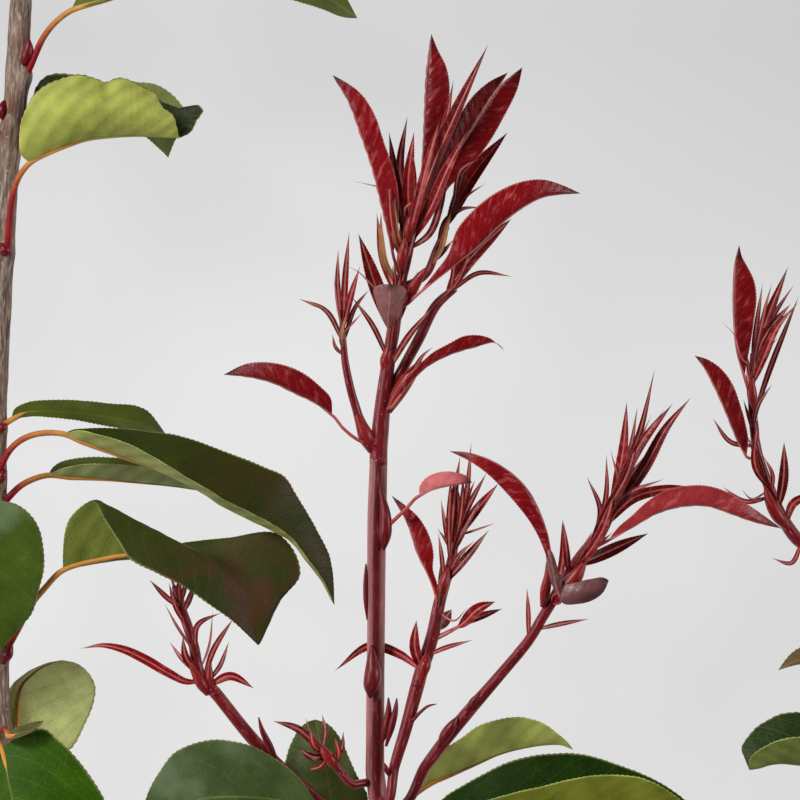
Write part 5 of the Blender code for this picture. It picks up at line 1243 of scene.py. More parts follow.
         (23.7, -98.2, 31), (29.9, -96.3, 31.5), (35, -95.6, 31.5), (39.1, -96.1, 31),
         (43.2, -97.6, 30.5), (47.3, -100.7, 29.5), (50.4, -103.3, 28.5), (52.2, -105.4, 27)],
        [(4, -119.5, 24), (9.4, -115.3, 24), (14.5, -113.2, 24), (22.7, -109.7, 24.5),
         (29.9, -106.6, 25), (38.1, -104.6, 25.5), (43.2, -103.9, 26), (49.4, -104.1, 26.5),
         (52.2, -105.4, 27)],
        [(4, -119.5, 23.5), (5, -115, 20), (9, -110, 17), (15, -106.5, 15.5), (22, -101.5, 15),
         (29, -99, 15.5), (36, -98.5, 16.5), (43, -100, 19), (49, -103, 23), (52.2, -105.4, 26.8)],
    ])),
    "leaf_low_front": Old("right_bough",
        OldLeafFinish("low_front", upper=(0.006, 0.022, 0.001), under=(0.17, 0.19, 0.020),
            vein=0.12, shine=0.04, painted_furrow_shade=0.25), Led(
        stalk=[(-6, -168, 27), (-2, -156, 31), (5, -141, 37), (13, -132, 40)], guides=[
        [(13, -132, 40), (15, -126, 45), (20, -122.3, 49), (27.3, -119.7, 51), (35, -117.6, 52.5),
         (42.2, -116.1, 53), (51.4, -113.8, 53.5), (59.6, -112.6, 53.5), (65.8, -112.6, 53),
         (71.9, -113.3, 52), (76, -114.7, 51), (82, -118.3, 48), (88, -123.5, 43.5),
         (93, -129, 38.5)],
        [(13, -132, 40), (20, -129.5, 41.5), (32, -127.5, 43), (45, -126.5, 43.5), (58, -126, 43.5),
         (70, -126, 42.5), (82, -127, 40.5), (93, -129, 38)],
        [(13, -132, 39.5), (9, -126, 36), (13, -119.7, 34.5), (18.6, -116.1, 34),
         (24.8, -112.7, 34), (31.9, -109.4, 34), (39.1, -107.4, 34), (46.3, -106.6, 34),
         (53.5, -106.6, 34), (59.6, -107.9, 34), (65.8, -110, 34.5), (71.9, -112.3, 35),
         (78.1, -115.3, 35.5), (84.4, -119.5, 36), (90, -124.5, 37), (93, -129, 37.6)],
    ])),
    "leaf_right_edge": Old("right_bough",
        OldLeafFinish("right_edge", upper=(0.014, 0.030, 0.004), under=(0.15, 0.19, 0.04)), Led(
        stalk=[(141.5, -103.5, 35.5), (138.5, -105, 38), (134, -107, 40)], guides=[
        [(134, -107, 39.5), (130, -101, 35), (125, -96, 33), (120, -94, 32.5), (117.3, -94.1, 32.5),
         (114.2, -94.6, 32.5), (111.1, -96.1, 33), (108, -97.9, 33.5), (104.9, -101, 35),
         (102.7, -105.1, 36.5), (103.4, -107.3, 37.5), (104.9, -110.8, 38.5)],
        [(134, -107, 40), (127, -109, 41.5), (120, -109.2, 42), (114.7, -108.9, 42),
         (111.1, -109.4, 41.5), (108, -110.5, 40.5), (104.9, -111.1, 39)],
        [(134, -107, 40.5), (129, -103.3, 46), (124, -101.6, 48.5), (120, -101.3, 49.5),
         (114.7, -102, 49.5), (111.1, -103.3, 48.5), (108, -105.1, 46.5), (105.4, -107.4, 43.5),
         (104.9, -111, 39.5)],
    ])),
    "leaf_right_small": Old("far_right_shoot",
        OldLeafFinish("right_small", upper=(0.11, 0.06, 0.025), under=(0.16, 0.10, 0.04)), Led(
        stalk=[(137.5, -73.5, 40), (134, -75.5, 42.5), (131, -76.5, 44)], guides=[
        [(131, -76.5, 44), (126, -73.8, 43), (120, -74.7, 41.5), (117.3, -76.6, 41.5),
         (115.7, -78.4, 41.8), (113.6, -81.2, 42)],
        [(131, -76.5, 44), (126, -77.2, 45), (120, -78.2, 44.5), (116.5, -79.5, 43.5),
         (113.6, -81.2, 42)],
        [(131, -76.5, 44), (126, -79.3, 46), (120, -79.4, 46), (116.8, -80.1, 44.5),
         (113.6, -81.2, 42)],
    ])),
}

SHOOT_LEAF_ROOT = (-4.4, -38.6, 49.5)
SHOOT_LEAF = Half(SHOOT_LEAF_ROOT, [(1.8, -32.6, 53.5)],
    [(5.8, -28.7, 55), (9.7, -26.9, 56), (14.4, -25.7, 57), (19.1, -25, 56.5), (21.6, -24.7, 56)],
    [(5.9, -25.9), (8.5, -22.9), (12.8, -21.5), (16.7, -21.7), (19.9, -22.9)], -0.02, bumps=0.3)

# Scales, buds and swellings on the limbs, as x, y, height and radius
SCALES = [
    [(-9, -89.5, 44.2, 0.4), (-8.7, -86, 45.4, 2.3), (-8.2, -83, 45.8, 2.6), (-8.3, -78, 45.6, 1.7),
     (-8.5, -73, 45.2, 0.2)],
    [(-4.8, -45, 48.6, 0.4), (-4.5, -41, 49.6, 1.8), (-4.3, -37, 50.1, 1.9), (-4.9, -31, 50.3, 1.2),
     (-6.3, -25.5, 50.2, 0.2)],
    [(-9.8, -66, 43.5, 0.3), (-10.2, -60, 44.6, 0.8), (-10.3, -54, 45.4, 0.7),
     (-10.2, -48.5, 46, 0.15)],
    [(-5.4, -103, 42, 0.5), (-4.1, -98, 43.6, 1.3), (-3.4, -93, 44.2, 0.9),
     (-3.5, -88.8, 44.4, 0.12)],
    [(-4.2, -104, 43, 0.4), (-2.4, -97.5, 44.6, 1.1), (-1.3, -92.8, 45.2, 0.8),
     (-0.9, -89, 45.4, 0.12)],
    [(11.6, -104.4, 39.3, 0.5), (13.5, -101, 40.8, 1.7), (15.5, -98, 41.6, 1.5),
     (17.4, -94.8, 42, 0.12)],
    [(19.8, -93.8, 41.4, 0.5), (22.0, -90.8, 42.4, 1.3), (23.9, -87.6, 43.2, 0.12)],
    [(-37, -109, 35.2, 0.6), (-39.4, -103.8, 36.8, 1.1), (-41.4, -99.5, 37.4, 0.8),
     (-42.7, -94.8, 37.6, 0.1)],
    [(3.6, -96.4, 45.6, 0.6), (6.2, -93.6, 47.2, 0.5), (8.5, -91.8, 48.4, 0.4),
     (11.3, -91.1, 48.6, 0.08)],
    [(-3.4, -112.6, 44, 0.5), (-4.1, -110.8, 45.2, 0.8), (-4.7, -108.8, 45.6, 0.1)],
    [(-112.9, 99.6, 52, 0.8), (-111.9, 102.6, 53.6, 1.9), (-111.3, 105.6, 54.4, 1.5),
     (-111.2, 108.6, 54.6, 0.2)],
    [(-118.4, 83.5, 51.6, 0.6), (-119.2, 86.6, 52.2, 1.9), (-118.2, 90, 51.8, 0.5)],
    [(-120.2, 46.8, 52.0, 0.7), (-118.4, 44.9, 53.4, 1.9), (-116.4, 43.6, 52.4, 0.7)],
    [(-121.2, -25, 49.5, 0.7), (-119.6, -23.2, 50.6, 1.7), (-118.2, -20.6, 50.8, 0.6)],
    [(-120.8, -9.4, 49.6, 0.6), (-119.4, -8.4, 50.2, 1.5), (-117.8, -7.2, 50.4, 0.5)],
    [(-119.4, -79, 43.2, 0.7), (-117.9, -76.4, 44.6, 1.7), (-116.6, -73.4, 45.2, 0.6)],
]

# Leaves beyond the view: limb, share along it, heading in degrees, length, crest above
# the foot, height of the tip, half width and roll
OUTER_LEAVES = {
    "outer_left_1": ("main_stem", 0.22, 200, 92, 18, 1.0, 19, 12),
    "outer_left_2": ("main_stem", 0.36, 172, 84, 20, 9.0, 18, -10),
    "outer_left_3": ("main_stem", 0.60, 172, 90, 8, 10.0, 19, 15),
    "outer_left_4": ("main_stem", 0.68, 150, 88, 14, 1.0, 18, -12),
    "outer_left_5": ("main_stem", 0.80, 185, 80, 16, 20.0, 16, 10),
    "outer_left_6": ("main_stem", 0.91, 145, 78, 14, 6.0, 16, -12),
    "outer_top_1": ("main_stem", 0.93, 40, 80, 12, 12.0, 16, 14),
    "outer_top_2": ("main_stem", 0.97, 128, 70, 10, 1.0, 14, 0),
    "outer_low_1": ("main_stem", 0.12, 345, 78, 16, 3.0, 17, -10),
    "outer_low_2": ("centre_bough", 0.35, 135, 64, 12, 26.0, 15, 10),
    "outer_low_3": ("right_bough", 0.16, 278, 66, 16, 1.0, 15, 8),
    "outer_low_4": ("right_bough", 0.36, 292, 84, 18, 4.0, 18, -10),
    "outer_right_1": ("right_bough", 0.58, 318, 88, 18, 1.0, 18, 10),
    "outer_right_2": ("right_bough", 0.76, 0, 80, 18, 6.0, 17, -10),
    "outer_right_3": ("right_bough", 0.95, 28, 84, 16, 1.0, 17, 8),
}


@dataclass
class Mass:
    """The leafy end of a shoot: its own stem, its twigs and its young leaves."""

    limb: str
    stem: list[Point]
    twigs: list[list[Point]] = field(default_factory=list)
    blades: list[Blade] = field(default_factory=list)
    seeded: int = 0
    reach: float = 20.0
    halves: list[Half] = field(default_factory=list)
    scales: list[list[Point]] = field(default_factory=list)
    flaps: list[Led] = field(default_factory=list)
    flap_finish: YoungLeafFinish = BRACT_FINISH
    bracts: list[Blade] = field(default_factory=list)


MASSES = {
    "centre_mass": Mass("centre_shoot",
        [(-5.5, -5, 50, 2.5), (-4, 8, 52, 2.1), (-1.5, 24, 54, 1.9), (1.5, 42, 55, 1.5),
         (5, 62, 56, 0.8)],
        twigs=[
            [(-6.2, -15, 49.5, 1.9), (-11, -9, 51, 1.6), (-13, -3, 52, 1.3), (-16, 9, 54, 1.2),
             (-17.6, 27, 56, 0.7)],
            [(-4.8, 0, 50.5, 1.8), (0, 8, 50, 1.6), (6, 19, 50.5, 1.6), (11, 28.5, 51.5, 1.5),
             (16.5, 33.5, 52, 1.1)],
            [(0, 33, 54, 1.4), (8, 38, 54, 1.3), (11, 45, 54, 1.2), (14, 52, 54, 0.9)],
        ],
        blades=[
            Blade([(2, 48), (10, 70, 62), (17, 86, 70), (26.3, 106, 74)], 2.6, 30, 24),
            Blade([(3, 46), (9, 57, 62), (14, 68.5, 67), (20.3, 80.5, 70)], 2.0, 20, 20),
            Blade([(14, 52), (21, 66, 53), (32.3, 80.3, 52)], 2.6, 20, 20),
            Blade([(14, 52), (18.5, 66, 58), (21, 77.5, 58)], 0.9),
            Blade([(14, 31), (20, 41, 50), (33.5, 54.5, 46)], 2.6, 20, 20),
            Blade([(-2.5, 20), (-7, 33, 48), (-12.5, 50, 46)], 2.6, -20, 20),
            Blade([(-0.5, 30), (-5, 42, 50), (-7, 56, 50)], 1.3),
            Blade([(2, 46), (-1, 64, 60), (-3.3, 80.3, 62)], 1.6),
            Blade([(3, 52), (0, 70, 50), (2.2, 85.2, 46)], 1.4),
            Blade([(3, 50), (2.5, 66, 62), (4.2, 80.2, 66)], 1.8),
            Blade([(3, 51), (13, 80, 64), (16, 95.5, 66)], 1.6),
            Blade([(11, 45), (14, 54, 56), (19, 57.3, 58), (24.5, 57.6, 58)], 0.9),
            Blade([(-4, 12), (-8, 22, 56), (-14.5, 31, 58)], 0.9),
            Blade([(-3, 8), (2.5, 19, 57), (10, 28, 60)], 1.1),
            Blade([(-17, 20), (-16.3, 38, 57), (-15.2, 50.2, 58)], 1.1),
            Blade([(-17.6, 22), (-18.7, 36, 56), (-18.5, 45, 55)], 0.9),
            Blade([(-17.2, 21), (-14.2, 33, 60), (-12, 39.8, 62)], 1.1),
            Blade([(-17, 17), (-23, 27.4, 59), (-30, 30.2, 60)], 0.8),
            Blade([(-17, 17), (-13, 28.5, 53), (-9.3, 33, 52)], 0.8),
            Blade([(15, 32), (16, 38, 54), (16, 44.5, 56)], 0.9),
            Blade([(15, 32), (23.5, 38, 54), (33.5, 37, 56)], 0.8),
            Blade([(-1, 50), (2, 58, 61), (8, 60, 62), (13, 56, 62)], 0.5),
            Blade([(5, 44), (9, 50, 60), (12, 58, 63), (14.5, 70, 64)], 1.2),
            Blade([(6, 50), (11, 60, 60), (17, 68, 60), (25.5, 74.8, 58)], 1.0),
            Blade([(2, 44), (5, 58, 63), (8.2, 71, 66), (12, 84, 68)], 1.5, 10, 20),
            Blade([(0, 40), (-2.4, 52, 62), (-3.2, 64, 63), (-2.4, 74, 63)], 1.1),
            Blade([(-8, 63), (-10, 64.6, 60), (-13.5, 65.3, 60)], 0.25),
            Blade([(14, 50), (16.4, 60, 60), (18.4, 69, 62), (24.4, 72.4, 62)], 0.9),
            Blade([(14, 52), (20, 61, 55), (25.5, 64.8, 55)], 0.45),
            Blade([(10, 41), (13, 44.5, 58), (16, 48, 59)], 0.8),
            Blade([(-18.2, 13), (-19.4, 16, 57), (-20.2, 19.6, 58)], 0.6),
            Blade([(-18, 20), (-18.9, 29, 58), (-19.8, 37, 59)], 0.35),
            Blade([(-17, 20), (-13.6, 23.6, 58), (-11.3, 26, 58)], 0.35),
            Blade([(16, 31), (18, 37, 55), (21, 44, 57)], 0.7),
            Blade([(1, 5), (4, 9, 56), (7, 13.5, 58), (9.7, 15.8, 58)], 0.9),
            Blade([(-6, 28), (-9, 35, 58), (-12, 38, 58), (-15.5, 40, 58)], 0.35),
        ], seeded=12, reach=24,
        halves=[
            Half((-1.2, 36), [],
                [(-2.1, 43.5, 58), (-5.7, 59.1, 61), (-8.1, 68.8, 63.5), (-11.8, 79.7, 65.5),
                 (-15.4, 89.3, 66), (-20.2, 97.1, 65)],
                [(-0.7, 50), (-0.5, 56.7), (-0.7, 62.8), (-2.3, 70), (-4.9, 77.2), (-7.9, 85.7),
                 (-11.6, 91.3), (-17.2, 95.5)], 0.2, rise=0.3, bumps=2.0),
            Half((3, 50), [],
                [(5, 57, 54), (6.2, 66, 53), (6.9, 74.8, 53), (7.5, 86.9, 52), (8.1, 98.9, 51),
                 (9.4, 109.8, 49)],
                [(7.5, 64), (9.8, 74), (12.2, 82), (14.2, 88.1), (14.8, 94.1), (13.7, 100.1),
                 (11.3, 105)], 0.42, rise=0.05, bumps=1.6),
            Half((4, 50), [],
                [(7, 58, 51), (13, 67, 50), (19, 77, 48), (25, 87, 46), (32.4, 98.4, 42)],
                [(9, 68), (13.5, 78), (18.2, 85.9), (22, 91.3), (26.8, 95.5)], 0.8, rise=-0.1,
                bumps=0.4),
            Half((4, 50), [],
                [(6, 57, 58), (11, 64, 60), (17.2, 73.6, 61.5), (23.2, 83.3, 62.5),
                 (29.2, 92.9, 62.5), (36.6, 99.5, 62)],
                [(12, 61.5), (19, 68), (25.9, 76), (30.9, 84.5), (35.4, 94.1)], 0.45, rise=0.0),
            Half((0.5, 27), [(2.5, 29, 58)],
                [(5.1, 31.4, 60), (11.2, 36.2, 62), (17.2, 41, 64), (23.2, 45.9, 65.5),
                 (29.3, 51.9, 66), (35.3, 56.7, 66), (42.5, 60.6, 64.5), (48.5, 61.6, 62),
                 (54, 61.8, 59)],
                [(10, 37.5), (14.4, 43.5), (17, 50.7), (22, 56.7), (29.3, 62.2), (36.5, 65.2),
                 (42.5, 65.8), (48.5, 64.2)], 0.25, bumps=0.2),
            Half((-8, -15), [(-12.5, -12, 53), (-17, -8.5, 55)],
                [(-20.3, -4.6, 56.4), (-25.5, -0.8, 57.5), (-31, 1.9, 58), (-38.3, 5.3, 57.5),
                 (-47.9, 7.3, 55), (-52.9, 7.6, 52.5)],
                [(-20.8, 0.6), (-23.8, 3.9), (-29.9, 8.5), (-38.3, 11.1), (-45.5, 10.9)], 0.45),
            Half((-3.6, -3), [],
                [(-2.0, -1.6, 54), (2.4, 4.2, 56), (7.6, 9.6, 58), (14, 13.2, 60), (22, 15.8, 60),
                 (29, 16.9, 59), (31.2, 14.8, 58)],
                [(0.6, 4.4), (4.6, 9.2), (9.6, 14), (15, 17), (19, 19), (22, 19.4), (26.5, 18.6)],
                0.45, rise=0.2),
        ],
        scales=[
            [(1.8, 46.5, 57, 0.4), (2.4, 49.5, 59, 1.5), (3.0, 53, 59.6, 1.5),
             (3.6, 56.5, 59.6, 0.4)],
            [(0.3, 38, 57.5, 0.4), (0.6, 42, 59.4, 1.6), (1.2, 46, 60, 1.2), (1.7, 49, 59.8, 0.3)],
            [(2.8, 29.5, 56, 0.5), (3.8, 33, 58.4, 1.6), (5.6, 36.4, 59.6, 1.4),
             (8, 39.6, 60.4, 0.4)],
            [(-8.6, -15.5, 49.3, 1.0), (-10.0, -11.5, 50.8, 2.3), (-11.9, -6.5, 51.6, 1.6),
             (-13.2, -2.5, 52, 1.1)],
            [(-4.8, 8, 52.4, 0.8), (-4.3, 12, 53.4, 1.7), (-3.4, 16, 54, 0.8)],
            [(-3.6, -3.4, 50.8, 1.2), (-0.3, 2.4, 52.0, 2.2), (3.4, 7.8, 52.8, 1.8),
             (6.8, 12.2, 53.2, 0.3)],
        ],
        flaps=[
            Led([(-3.6, 16), (-3.4, 20.6, 59.5)], [
                [(-3.4, 20.6, 59.5), (-5.6, 24.6, 60.4), (-7.2, 29.6, 61), (-7.8, 33.2, 61.4),
                 (-6.2, 34.4, 61.6), (-3, 34.6, 62.2)],
                [(-3.4, 20.6, 59.5), (-3.4, 25, 61.2), (-3.2, 29, 62), (-3.1, 32, 62.4),
                 (-3, 33.6, 62.4), (-3, 34.6, 62.2)],
                [(-3.4, 20.6, 59.5), (-0.4, 24.6, 60.6), (1.2, 29.6, 61.2), (1.8, 33.2, 61.6),
                 (0.2, 34.4, 61.8), (-3, 34.6, 62.2)],
            ]),
        ], bracts=[
        Blade([(-3.2, 34), (-4.8, 42, 60.6), (-5.6, 49, 62), (-5.7, 56, 62)], 1.1),
        Blade([(-0.8, 42), (-1.4, 50, 61), (-1.8, 56, 62.4), (-1.6, 61.5, 62.4)], 1.3),
        Blade([(9, 40), (12.2, 45, 58.6), (14.2, 52.5, 60), (15.6, 58, 60)], 0.9),
        Blade([(-17.4, 15), (-17.6, 18, 58.6), (-17.0, 22.5, 59), (-15.6, 26, 59)], 0.7),
        Blade([(-18.4, 19), (-22.5, 27.2, 56), (-26.5, 28.6, 56), (-30, 30.2, 55)], 0.5),
    ]),
    "inner_mass": Mass("inner_shoot",
        [(10, -70, 46, 2.0), (12, -60, 46.5, 1.8), (15, -50, 47, 1.5), (18, -34, 47, 0.7)],
        blades=[
            Blade([(15.5, -47), (16, -32, 50), (18, -16.8, 52)], 1.3),
            Blade([(16.5, -42), (19.8, -29, 46), (21.4, -13, 45)], 0.9),
            Blade([(16, -46), (17.5, -34, 51), (17, -25, 53)], 1.5),
            Blade([(14.5, -50), (14.6, -36, 53), (15.5, -21, 55)], 0.9),
            Blade([(17, -40), (21, -31, 42), (26, -22, 40)], 1.0),
            Blade([(17, -42), (22.7, -33.5, 50), (29.5, -25, 52)], 1.6, 20, 20),
            Blade([(14, -55), (20, -47.2, 52), (26.6, -39, 54)], 1.4, 20, 20),
            Blade([(15, -48), (13.6, -38, 44), (12.3, -30, 42)], 0.8),
            Blade([(13, -56), (12.5, -47, 50), (11.5, -40, 51)], 0.8),
            Blade([(6, -81), (0, -76.3, 40.5), (-9, -73.9, 36), (-19.7, -81.5, 36)], 1.6, 20, 20),
            Blade([(6, -81), (4.4, -74, 49), (4.9, -66, 51)], 1.7),
            Blade([(8, -77), (13, -74.5, 49), (21.6, -72, 50)], 0.8),
            Blade([(10, -73), (18.5, -67.4, 50), (24, -62.3, 53), (28.6, -60.4, 52)], 2.0, 20, 20,
                0.4),
            Blade([(11, -72), (22, -65.8, 49), (30.7, -62.6, 50)], 1.3, 20, 20, 0.4),
            Blade([(11, -69), (12.5, -67, 42), (15.5, -63, 36)], 2.0),
            Blade([(15, -46), (13, -41, 50), (11.2, -38.5, 51)], 0.5),
            Blade([(17, -41), (22, -39.2, 50), (28.3, -37, 50)], 0.4),
            Blade([(14, -64), (16.8, -66, 51), (19.8, -62.5, 52)], 0.35),
            Blade([(14, -52), (18.5, -45.5, 53), (22.3, -42.3, 55)], 0.7),
            Blade([(16, -44), (18.4, -33, 53), (19, -22, 54)], 1.0),
            Blade([(16, -46), (20, -37, 51), (24.6, -29.5, 52)], 1.3, 15, 20),
        ], seeded=8, reach=15,
        halves=[
            Half((12, -63), [],
                [(10.9, -59.3, 49), (8.6, -53, 49.5), (5.6, -46.8, 49.5), (1.8, -36, 48.5),
                 (-2.5, -28.7, 47)],
                [(11.2, -56), (9.8, -50.7), (10, -46), (8.6, -40.5), (5.8, -35.6), (0.7, -31)],
                0.35),
        ], scales=[
        [(8.2, -76, 47, 0.6), (7.4, -79.5, 48.4, 1.9), (6.6, -83, 48.2, 1.2),
         (6.2, -86, 47.4, 0.3)],
        [(12.2, -60.5, 47.5, 0.5), (12.6, -57, 49, 1.7), (13.8, -53, 49.4, 1.3),
         (14.8, -50, 49.2, 0.3)],
    ]),
    "right_mass": Mass("right_shoot",
        [(43, -65, 45, 1.6), (49, -55, 46, 1.8), (54, -48, 47, 2.2), (60, -40, 48, 1.9),
         (64, -32, 49, 1.4), (68, -22, 50, 0.7)],
        blades=[
            Blade([(38, -72), (38.5, -64, 47), (38.1, -56.5, 48)], 0.8),
            Blade([(40.5, -69), (47, -67.4, 47), (56.6, -65.7, 48)], 0.8),
            Blade([(46, -59), (48.9, -47, 43), (48.8, -36, 41)], 1.2),
            Blade([(53, -50), (60, -46.7, 43), (67, -43.5, 41), (74.8, -40, 40)], 2.0),
            Blade([(61, -38), (71, -29, 42), (80, -26.8, 40), (92, -27, 38)], 1.7),
            Blade([(57, -43), (64, -29, 54), (71, -12, 59), (76.2, 9.2, 62)], 1.3),
            Blade([(63, -34), (67, -14, 50), (68, -0.5, 50)], 1.6),
            Blade([(65, -29), (69.5, -13, 45), (71.3, -2, 44)], 0.8),
            Blade([(64, -32), (71, -15.5, 43), (82, -1, 39)], 1.6),
            Blade([(62, -36), (73.5, -20, 56), (80, -8, 59), (87, 0.8, 61)], 2.0, 20, 20),
            Blade([(58, -42), (61.8, -28, 54), (61.8, -16.5, 57)], 0.9),
            Blade([(57, -43), (60, -33, 51), (56, -23, 53)], 0.9),
            Blade([(60, -39), (68, -28.2, 56), (78.8, -23.7, 59)], 0.9),
            Blade([(62, -35), (66, -22, 53), (64.6, -16.8, 55)], 0.7),
            Blade([(64, -32), (65, -23, 56), (63, -15, 57)], 0.5),
            Blade([(66, -26), (72, -12, 50), (75.4, -4.5, 50)], 0.5),
            Blade([(60, -38), (66, -26, 57), (72, -13, 60), (79, -3, 61)], 1.6, 10, 20),
            Blade([(56, -44), (62, -33, 56), (68, -22, 59), (71.5, -9, 60)], 1.5),
            Blade([(52, -49), (57, -45, 54), (61, -38, 57), (64, -28, 58)], 1.5),
            Blade([(50, -52), (49.6, -43, 56), (48.9, -36.2, 58)], 1.1),
        ], seeded=9, reach=17,
        halves=[
            Half((49, -58), [],
                [(48.3, -56, 50), (47, -52, 52), (45.4, -46.5, 55), (44.2, -40.5, 57.5),
                 (41.3, -32.5, 60), (37.9, -26.6, 61.5), (33.2, -21.9, 62), (26.9, -18, 62),
                 (20.6, -15.9, 61), (14.8, -15.3, 58.5)],
                [(46, -52), (43.6, -46), (41.2, -40.3), (38.9, -36.4), (35.1, -31.4), (31.2, -27),
                 (26.6, -22.4), (21.1, -18.4)], 0.3, bumps=0.4),
            Half((55, -47), [(58.5, -44.3, 53)],
                [(62.4, -42.1, 54.5), (69.4, -38.2, 57), (77.3, -33.7, 58.5), (85.1, -31.7, 58.5),
                 (92.2, -31.7, 58), (98.4, -33.7, 57), (104.7, -36, 55), (114.6, -38.6, 49)],
                [(65, -38.5), (69.2, -34.8), (73.4, -30.9), (78.8, -27.4), (85.1, -25.8),
                 (92.2, -25.8), (98.4, -27.8), (103.6, -31)], 0.105, bumps=0.9),
        ],
        scales=[
            [(42.8, -62, 46.6, 0.8), (43.6, -57, 48.6, 1.6), (44.3, -52.5, 50.2, 1.1),
             (44, -48, 51, 0.2)],
            [(46.4, -61, 46, 0.8), (49, -57.5, 48.4, 2.6), (52.6, -53, 49.8, 2.3),
             (55.6, -48.4, 50.4, 0.6)],
        ],
        flaps=[
            Led([(44.6, -61), (47, -58, 51)], [
                [(47, -58, 51), (49, -61, 51.5), (53, -61.2, 52), (57, -60.4, 52), (60.6, -58, 52),
                 (62.6, -54, 52)],
                [(47, -58, 51), (50, -58.6, 52.6), (54, -58, 53.6), (58, -56.8, 53.6),
                 (61, -55.2, 53), (62.6, -54, 52)],
                [(47, -58, 51), (49, -55.8, 51.6), (53, -54.6, 52.4), (57.5, -53.6, 52.6),
                 (61, -53.2, 52.4), (62.6, -54, 52)],
            ]),
            Led([(46, -62), (48.3, -60.5, 50)], [
                [(48.3, -60.5, 50), (45.8, -56, 51.5), (44.2, -50, 52.5), (43.6, -46, 54),
                 (43.2, -42, 55.5)],
                [(48.3, -60.5, 50), (46.9, -56, 53), (45.6, -50, 54.6), (44.6, -46, 56),
                 (43.2, -42, 55.5)],
                [(48.3, -60.5, 50), (48.8, -56, 52), (47.2, -50, 53.4), (45.8, -46, 55),
                 (43.2, -42, 55.5)],
            ]),
        ], flap_finish=DUSK_FINISH),
    "far_right_mass": Mass("far_right_shoot",
        [(120, -42.3, 44, 2.0), (115.5, -36.5, 45, 1.9), (110.5, -25.5, 46, 1.6),
         (107.2, -15, 47, 1.4), (105.5, -2, 48, 1.1), (105.6, 14, 48, 0.6)],
        blades=[
            Blade([(107, -14), (99, -12.5, 50), (93.8, -5.5, 50)], 0.8),
            Blade([(105.3, 8), (109.5, 23, 54), (116.2, 40, 57)], 1.6),
            Blade([(105.5, 10), (112, 25, 43), (118.3, 34.5, 41)], 0.9),
            Blade([(105.4, 12), (107, 25, 60), (108.4, 34.7, 62)], 0.9),
            Blade([(105.4, 10), (110.5, 21, 58), (116.8, 28.7, 61)], 1.8, 20, 20),
            Blade([(106, -6), (111, 9, 43), (120, 31.5, 39)], 1.0),
            Blade([(106.3, -8), (107.5, -1, 54), (111.4, 4.6, 56)], 0.8),
            Blade([(113, -33), (115, -23, 51), (115.1, -12.5, 53)], 1.6),
            Blade([(111, -27), (106.6, -20, 51), (107, -7, 54)], 1.2),
            Blade([(112, -29), (103.5, -30.4, 47), (97, -26.2, 48)], 0.8),
            Blade([(116, -37), (118, -31, 48), (127, -28, 46)], 1.4),
            Blade([(120.5, -43), (117, -49, 48), (111.7, -47.5, 49)], 0.8),
            Blade([(105, 10), (101.5, 14, 60), (99.6, 20, 61), (96.3, 23.2, 61)], 0.3),
            Blade([(106, 8), (109, 14, 56), (113, 18.5, 57)], 0.7),
            Blade([(105.4, 9), (107.6, 20, 60), (109.8, 30, 62), (111.2, 34.8, 62)], 0.9),
            Blade([(105.6, 4), (109, 13, 58), (113, 22, 60), (119, 29, 60)], 1.3, 10, 20),
            Blade([(112, -28), (111.6, -22, 50), (109, -17, 52)], 0.7),
            Blade([(108, -28), (105, -29.5, 49), (102.5, -26.8, 50)], 0.35),
        ], seeded=8, reach=16,
        halves=[
            Half((104.8, 0), [],
                [(103.2, 7, 52), (101.2, 13, 54), (100, 24.4, 56), (99.9, 34.4, 57.5),
                 (100.3, 41, 58), (101.5, 46.4, 58)],
                [(104, 12), (104.8, 16.5), (105.8, 23.1), (106.6, 31.1), (105.9, 35.7),
                 (103.9, 39.9), (102.4, 42.6)], 0.45, bumps=0.4),
            Half((106.8, -17), [],
                [(103.9, -17, 49.5), (101.9, -13.8, 51), (99.8, -9, 53), (97.2, -2.6, 55),
                 (93.8, 4.7, 56.5), (90.4, 10.7, 56.5), (88.2, 13.3, 56)],
                [(104.3, -12), (103.4, -6.8), (101.8, -1.3), (99.5, 4.7), (96, 9.4), (91.3, 12.4)],
                0.5),
        ], scales=[
        [(116.8, -39, 45.8, 0.8), (113.6, -35, 47.4, 2.0), (110.8, -30, 48.2, 1.5),
         (109.4, -26, 48.4, 0.4)],
        [(106.6, -4, 49, 0.5), (105.8, 1, 50, 1.4), (105.4, 5.4, 50.4, 0.9), (105, 9, 50.6, 0.2)],
    ]),
    "left_mass": Mass("left_shoot",
        [(-60, -83, 36.5, 1.9), (-62, -74, 37, 1.6), (-66, -62, 37, 1.3), (-68, -56, 36, 0.8)],
        blades=[
            Blade(
                [(-59.5, -85), (-64, -84.8, 38), (-70, -82, 39.5), (-77, -77.9, 41),
                 (-83, -75.1, 42), (-89, -73.8, 42), (-96, -74.7, 40)], 1.6, -20, 20),
            Blade([(-60, -83), (-66, -77.5, 33), (-69.3, -73, 31)], 0.8),
            Blade([(-60, -83), (-64.5, -77, 40), (-65.3, -71, 41)], 1.3),
            Blade([(-66, -63), (-70, -59.5, 38), (-75.3, -54.2, 37)], 0.9),
            Blade([(-64, -69), (-67.5, -62, 39), (-69.5, -55, 38)], 0.9),
            Blade([(-61, -78), (-60.6, -67.4, 40), (-54, -64, 39)], 1.0),
            Blade([(-59, -84), (-56, -75, 40), (-50, -65.5, 39)], 1.0),
            Blade([(-58, -85), (-54.2, -80, 39), (-51.5, -72.8, 38)], 0.8),
            Blade([(-57.5, -86), (-51, -83, 39), (-43.9, -86.7, 38)], 1.4),
            Blade([(-60, -82), (-57.2, -73, 41), (-56.3, -63.7, 41)], 0.4),
            Blade([(-62, -76), (-67, -68, 41), (-70.7, -61.3, 41)], 0.5),
